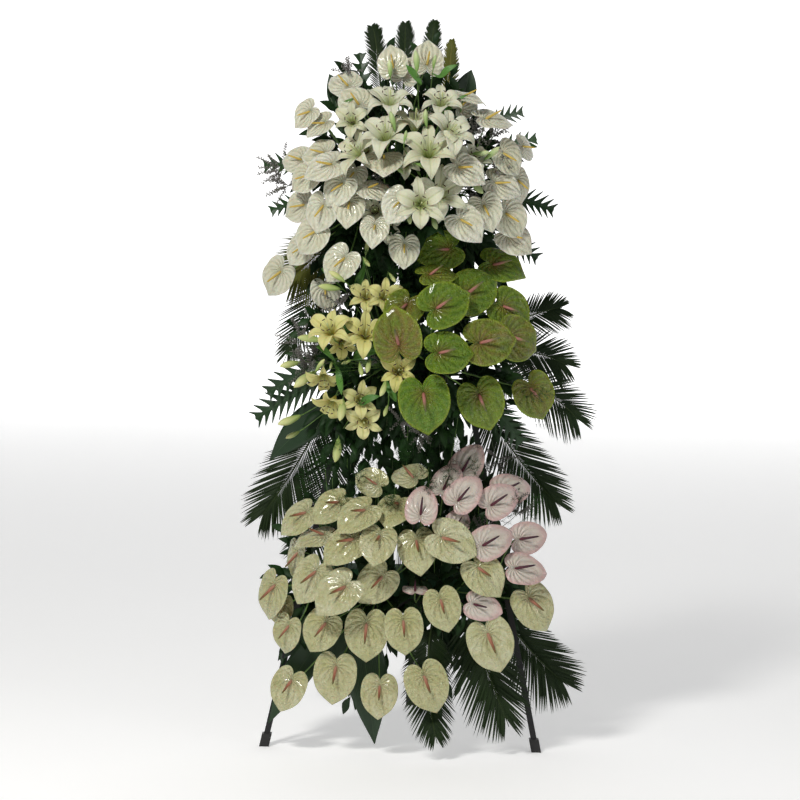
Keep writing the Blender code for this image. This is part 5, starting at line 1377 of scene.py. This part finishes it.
def addStatice(sheaf, spot, way, goal, spread, spikes, rng):
    # A stalk that forks into spikes, each set with small cups to its end.
    stalk, twigs = staticeStalk, staticeStalk["spikeRings"]
    neck = goal.lerp(spot, stalk["fork"])
    line = routeThrough((spot - way * sunk, spot + way * stalk["knee"], neck), stalk["rings"])
    sheaf.add("twig", *tube(line, np.linspace(*stalk["stalk"], stalk["rings"]), 5), rng.random())
    outward = (goal - spot).normalized()
    for _ in range(spikes):
        aside = Vector((rng.gauss(0, 1), rng.gauss(0, 0.6), rng.gauss(0.3, 1))).normalized()
        aside = (aside + outward * rng.uniform(0.2, 1.0)).normalized() * spread * rng.uniform(0.8, 1.5)
        head = neck + aside
        line = routeThrough((neck, neck + aside * 0.5 + Vector((0, 0, 0.004)), head), twigs)
        sheaf.add("twig", *tube(line, np.linspace(*stalk["spike"], twigs), 4), rng.random())
        cups = int(aside.length * 0.8 / staticeCup["gap"])
        for j in range(cups):
            rise = stalk["arch"] * math.sin(math.pi * j / cups)
            foot = neck.lerp(head, stalk["bare"] + 0.8 * j / cups) + Vector((0, 0, rise))
            lean = aside.normalized()
            side = turned(lean, j * staticeCup["turn"] + rng.uniform(-0.4, 0.4))
            up = (side + lean * 0.8).normalized() * staticeCup["long"] * rng.uniform(0.7, 1.2)
            wide = staticeCup["wide"] * rng.uniform(0.7, 1.2)
            cup = [foot + up * k for k in staticeCup["ends"]]
            radii = [wide * k for k in staticeCup["profile"]]
            sheaf.add("statice", *tube(cup, radii, 5, staticeCup["flute"]), rng.random())


for tier, rows in staticeHeads.items():
    sheaf = Sheaf()
    rng = random.Random("statice " + tier)
    for side, up, spread, spikes in rows:
        side, up = side / 100, up / 100
        goal = place(side, up, domeOut(tier, side, up) + staticeStalk["past"][tier])
        addStatice(sheaf, *foamStart(tier, side, up, rng), goal, spread / 100, spikes, rng)
    sheaf.make("statice_" + tier, "leaf")
print("statice made")


# The stand: finer finishes on the frame's own solids, and beads of weld at the joints

finishes = {"leg": "steel", "apex": "steel", "shelf": "steel", "foot": "plastic", "tray": "plastic",
            "foam": "foam"}
for name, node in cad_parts.items():
    kind = name.split("_")[0]
    if kind in finishes:
        for k in range(len(node.material_slots)):
            node.material_slots[k].material = paints[finishes[kind]]

# the easel's own sizes, for the places of the welds
stand = {"apexHeight": 1.70, "footSide": 0.36, "footFront": -0.20, "footRear": 0.43, "tube": 0.016,
         "rearTopBack": 0.0175, "rearAside": (0.012, 0.030), "bar": 0.012}
bead = {"off": 0.0004, "wide": 0.85, "radius": 0.0016, "ripple": 0.0022}


def legSpot(side, height):
    share = 1.0 - height / stand["apexHeight"]
    if side:
        return easelMiddle + Vector((side * stand["footSide"] * share, stand["footFront"] * share, height))
    back = stand["rearTopBack"] + (stand["footRear"] - stand["rearTopBack"]) * share
    aside = stand["rearAside"][0] + (stand["rearAside"][1] - stand["rearAside"][0]) * share
    return easelMiddle + Vector((aside, back, height))


def addBead(sheaf, joint, reach, rng):
    # a run of overlapping ripples along a joint
    start, end = joint - Vector((reach, 0, 0)), joint + Vector((reach, 0, 0))
    count = max(7, int((end - start).length / bead["ripple"]))
    line = [start.lerp(end, k / (count - 1)) for k in range(count)]
    radii = [bead["radius"] * (0.85 + 0.3 * (k % 2)) * rng.uniform(0.92, 1.08) for k in range(count)]
    radii[0] = radii[-1] = bead["radius"] * 0.5
    sheaf.add("steel", *tube(line, radii, 8), 0.5)


beads = Sheaf()
rng = random.Random("weld")
half = stand["tube"] / 2
for tier in tiers:
    top = tiers[tier]["shelf"]
    for side in (-1, 1):
        for height in (top, top - stand["bar"]):
            joint = legSpot(side, height) + Vector((0, half + bead["off"], 0))
            addBead(beads, joint, half * bead["wide"], rng)
    for height in (top, top - stand["bar"]):
        joint = legSpot(0, height) - Vector((0, half + bead["off"], 0))
        addBead(beads, joint, stand["bar"] / 2 * bead["wide"], rng)
beads.make("weld_beads", "black_steel")
print("stand finished")


# Studio: two soft lamps, a pale room, and a long lens at eye height

lamps = {
    "key": {"spot": (-1.8, -3.6, 4.2), "aim": (0, 0, 1.0), "size": 0.9, "power": 158,
            "colour": (1.0, 0.985, 0.95)},
    "fill": {"spot": (3.4, -3.8, 1.6), "aim": (0, 0, 0.9), "size": 2.6, "power": 30,
             "colour": (0.97, 0.98, 1.0)},
}
sheets = {
    "floor": {"corners": [(-60, -60, 0), (60, -60, 0), (60, 60, 0), (-60, 60, 0)],
              "blotches": 3.0, "dark": 0.90, "light": 0.93, "rough": 0.8, "glowing": 0.28},
    "backdrop": {"corners": [(-16, 11, -1), (16, 11, -1), (16, 11, 12), (-16, 11, 12)],
                 "blotches": 0.5, "dark": 0.90, "light": 0.92, "rough": 0.9, "glowing": 0.9},
}
view = {"spot": (-0.064, -7.0, 1.4), "tilt": 86.0, "roll": -1.3, "lens": 117.0, "sensor": 36.0, "far": 200.0,
        "world": 0.16}


def addLamp(name, spot, aim, size, power, colour):
    lamp = bpy.data.lights.new(name, "AREA")
    lamp.shape, lamp.size, lamp.energy, lamp.color = "DISK", size, power, colour
    holder = newObject(name, lamp)
    holder.location = spot
    holder.rotation_euler = (Vector(aim) - Vector(spot)).to_track_quat("-Z", "Y").to_euler()


def addSheet(name, corners, blotches, dark, light, rough, glowing):
    # one of the room's softly glowing planes
    mesh = bpy.data.meshes.new(name)
    mesh.from_pydata(corners, [], [(0, 1, 2, 3)])
    paint = newPaint(name, lambda w: {"colour": w.noise(blotches).mix((dark,) * 3, (light,) * 3)},
                     rough=rough, glow=(1.0,) * 4, glowing=glowing)
    mesh.materials.append(paint)
    return newObject(name, mesh)


for name, settings in lamps.items():
    addLamp(name, **settings)
world = bpy.data.worlds.new("studio")
world.use_nodes = True
world.node_tree.nodes["Background"].inputs["Color"].default_value = (1.0, 1.0, 1.0, 1.0)
world.node_tree.nodes["Background"].inputs["Strength"].default_value = view["world"]
bpy.context.scene.world = world
floor, backdrop = (addSheet(name, **settings) for name, settings in sheets.items())

lens = bpy.data.cameras.new("camera")
lens.sensor_width, lens.lens, lens.clip_end = view["sensor"], view["lens"], view["far"]
camera = newObject("camera", lens)
camera.location = view["spot"]
camera.rotation_euler = (math.radians(view["tilt"]), math.radians(view["roll"]), 0.0)
bpy.context.scene.camera = camera
bpy.context.scene.view_settings.view_transform = "Standard"
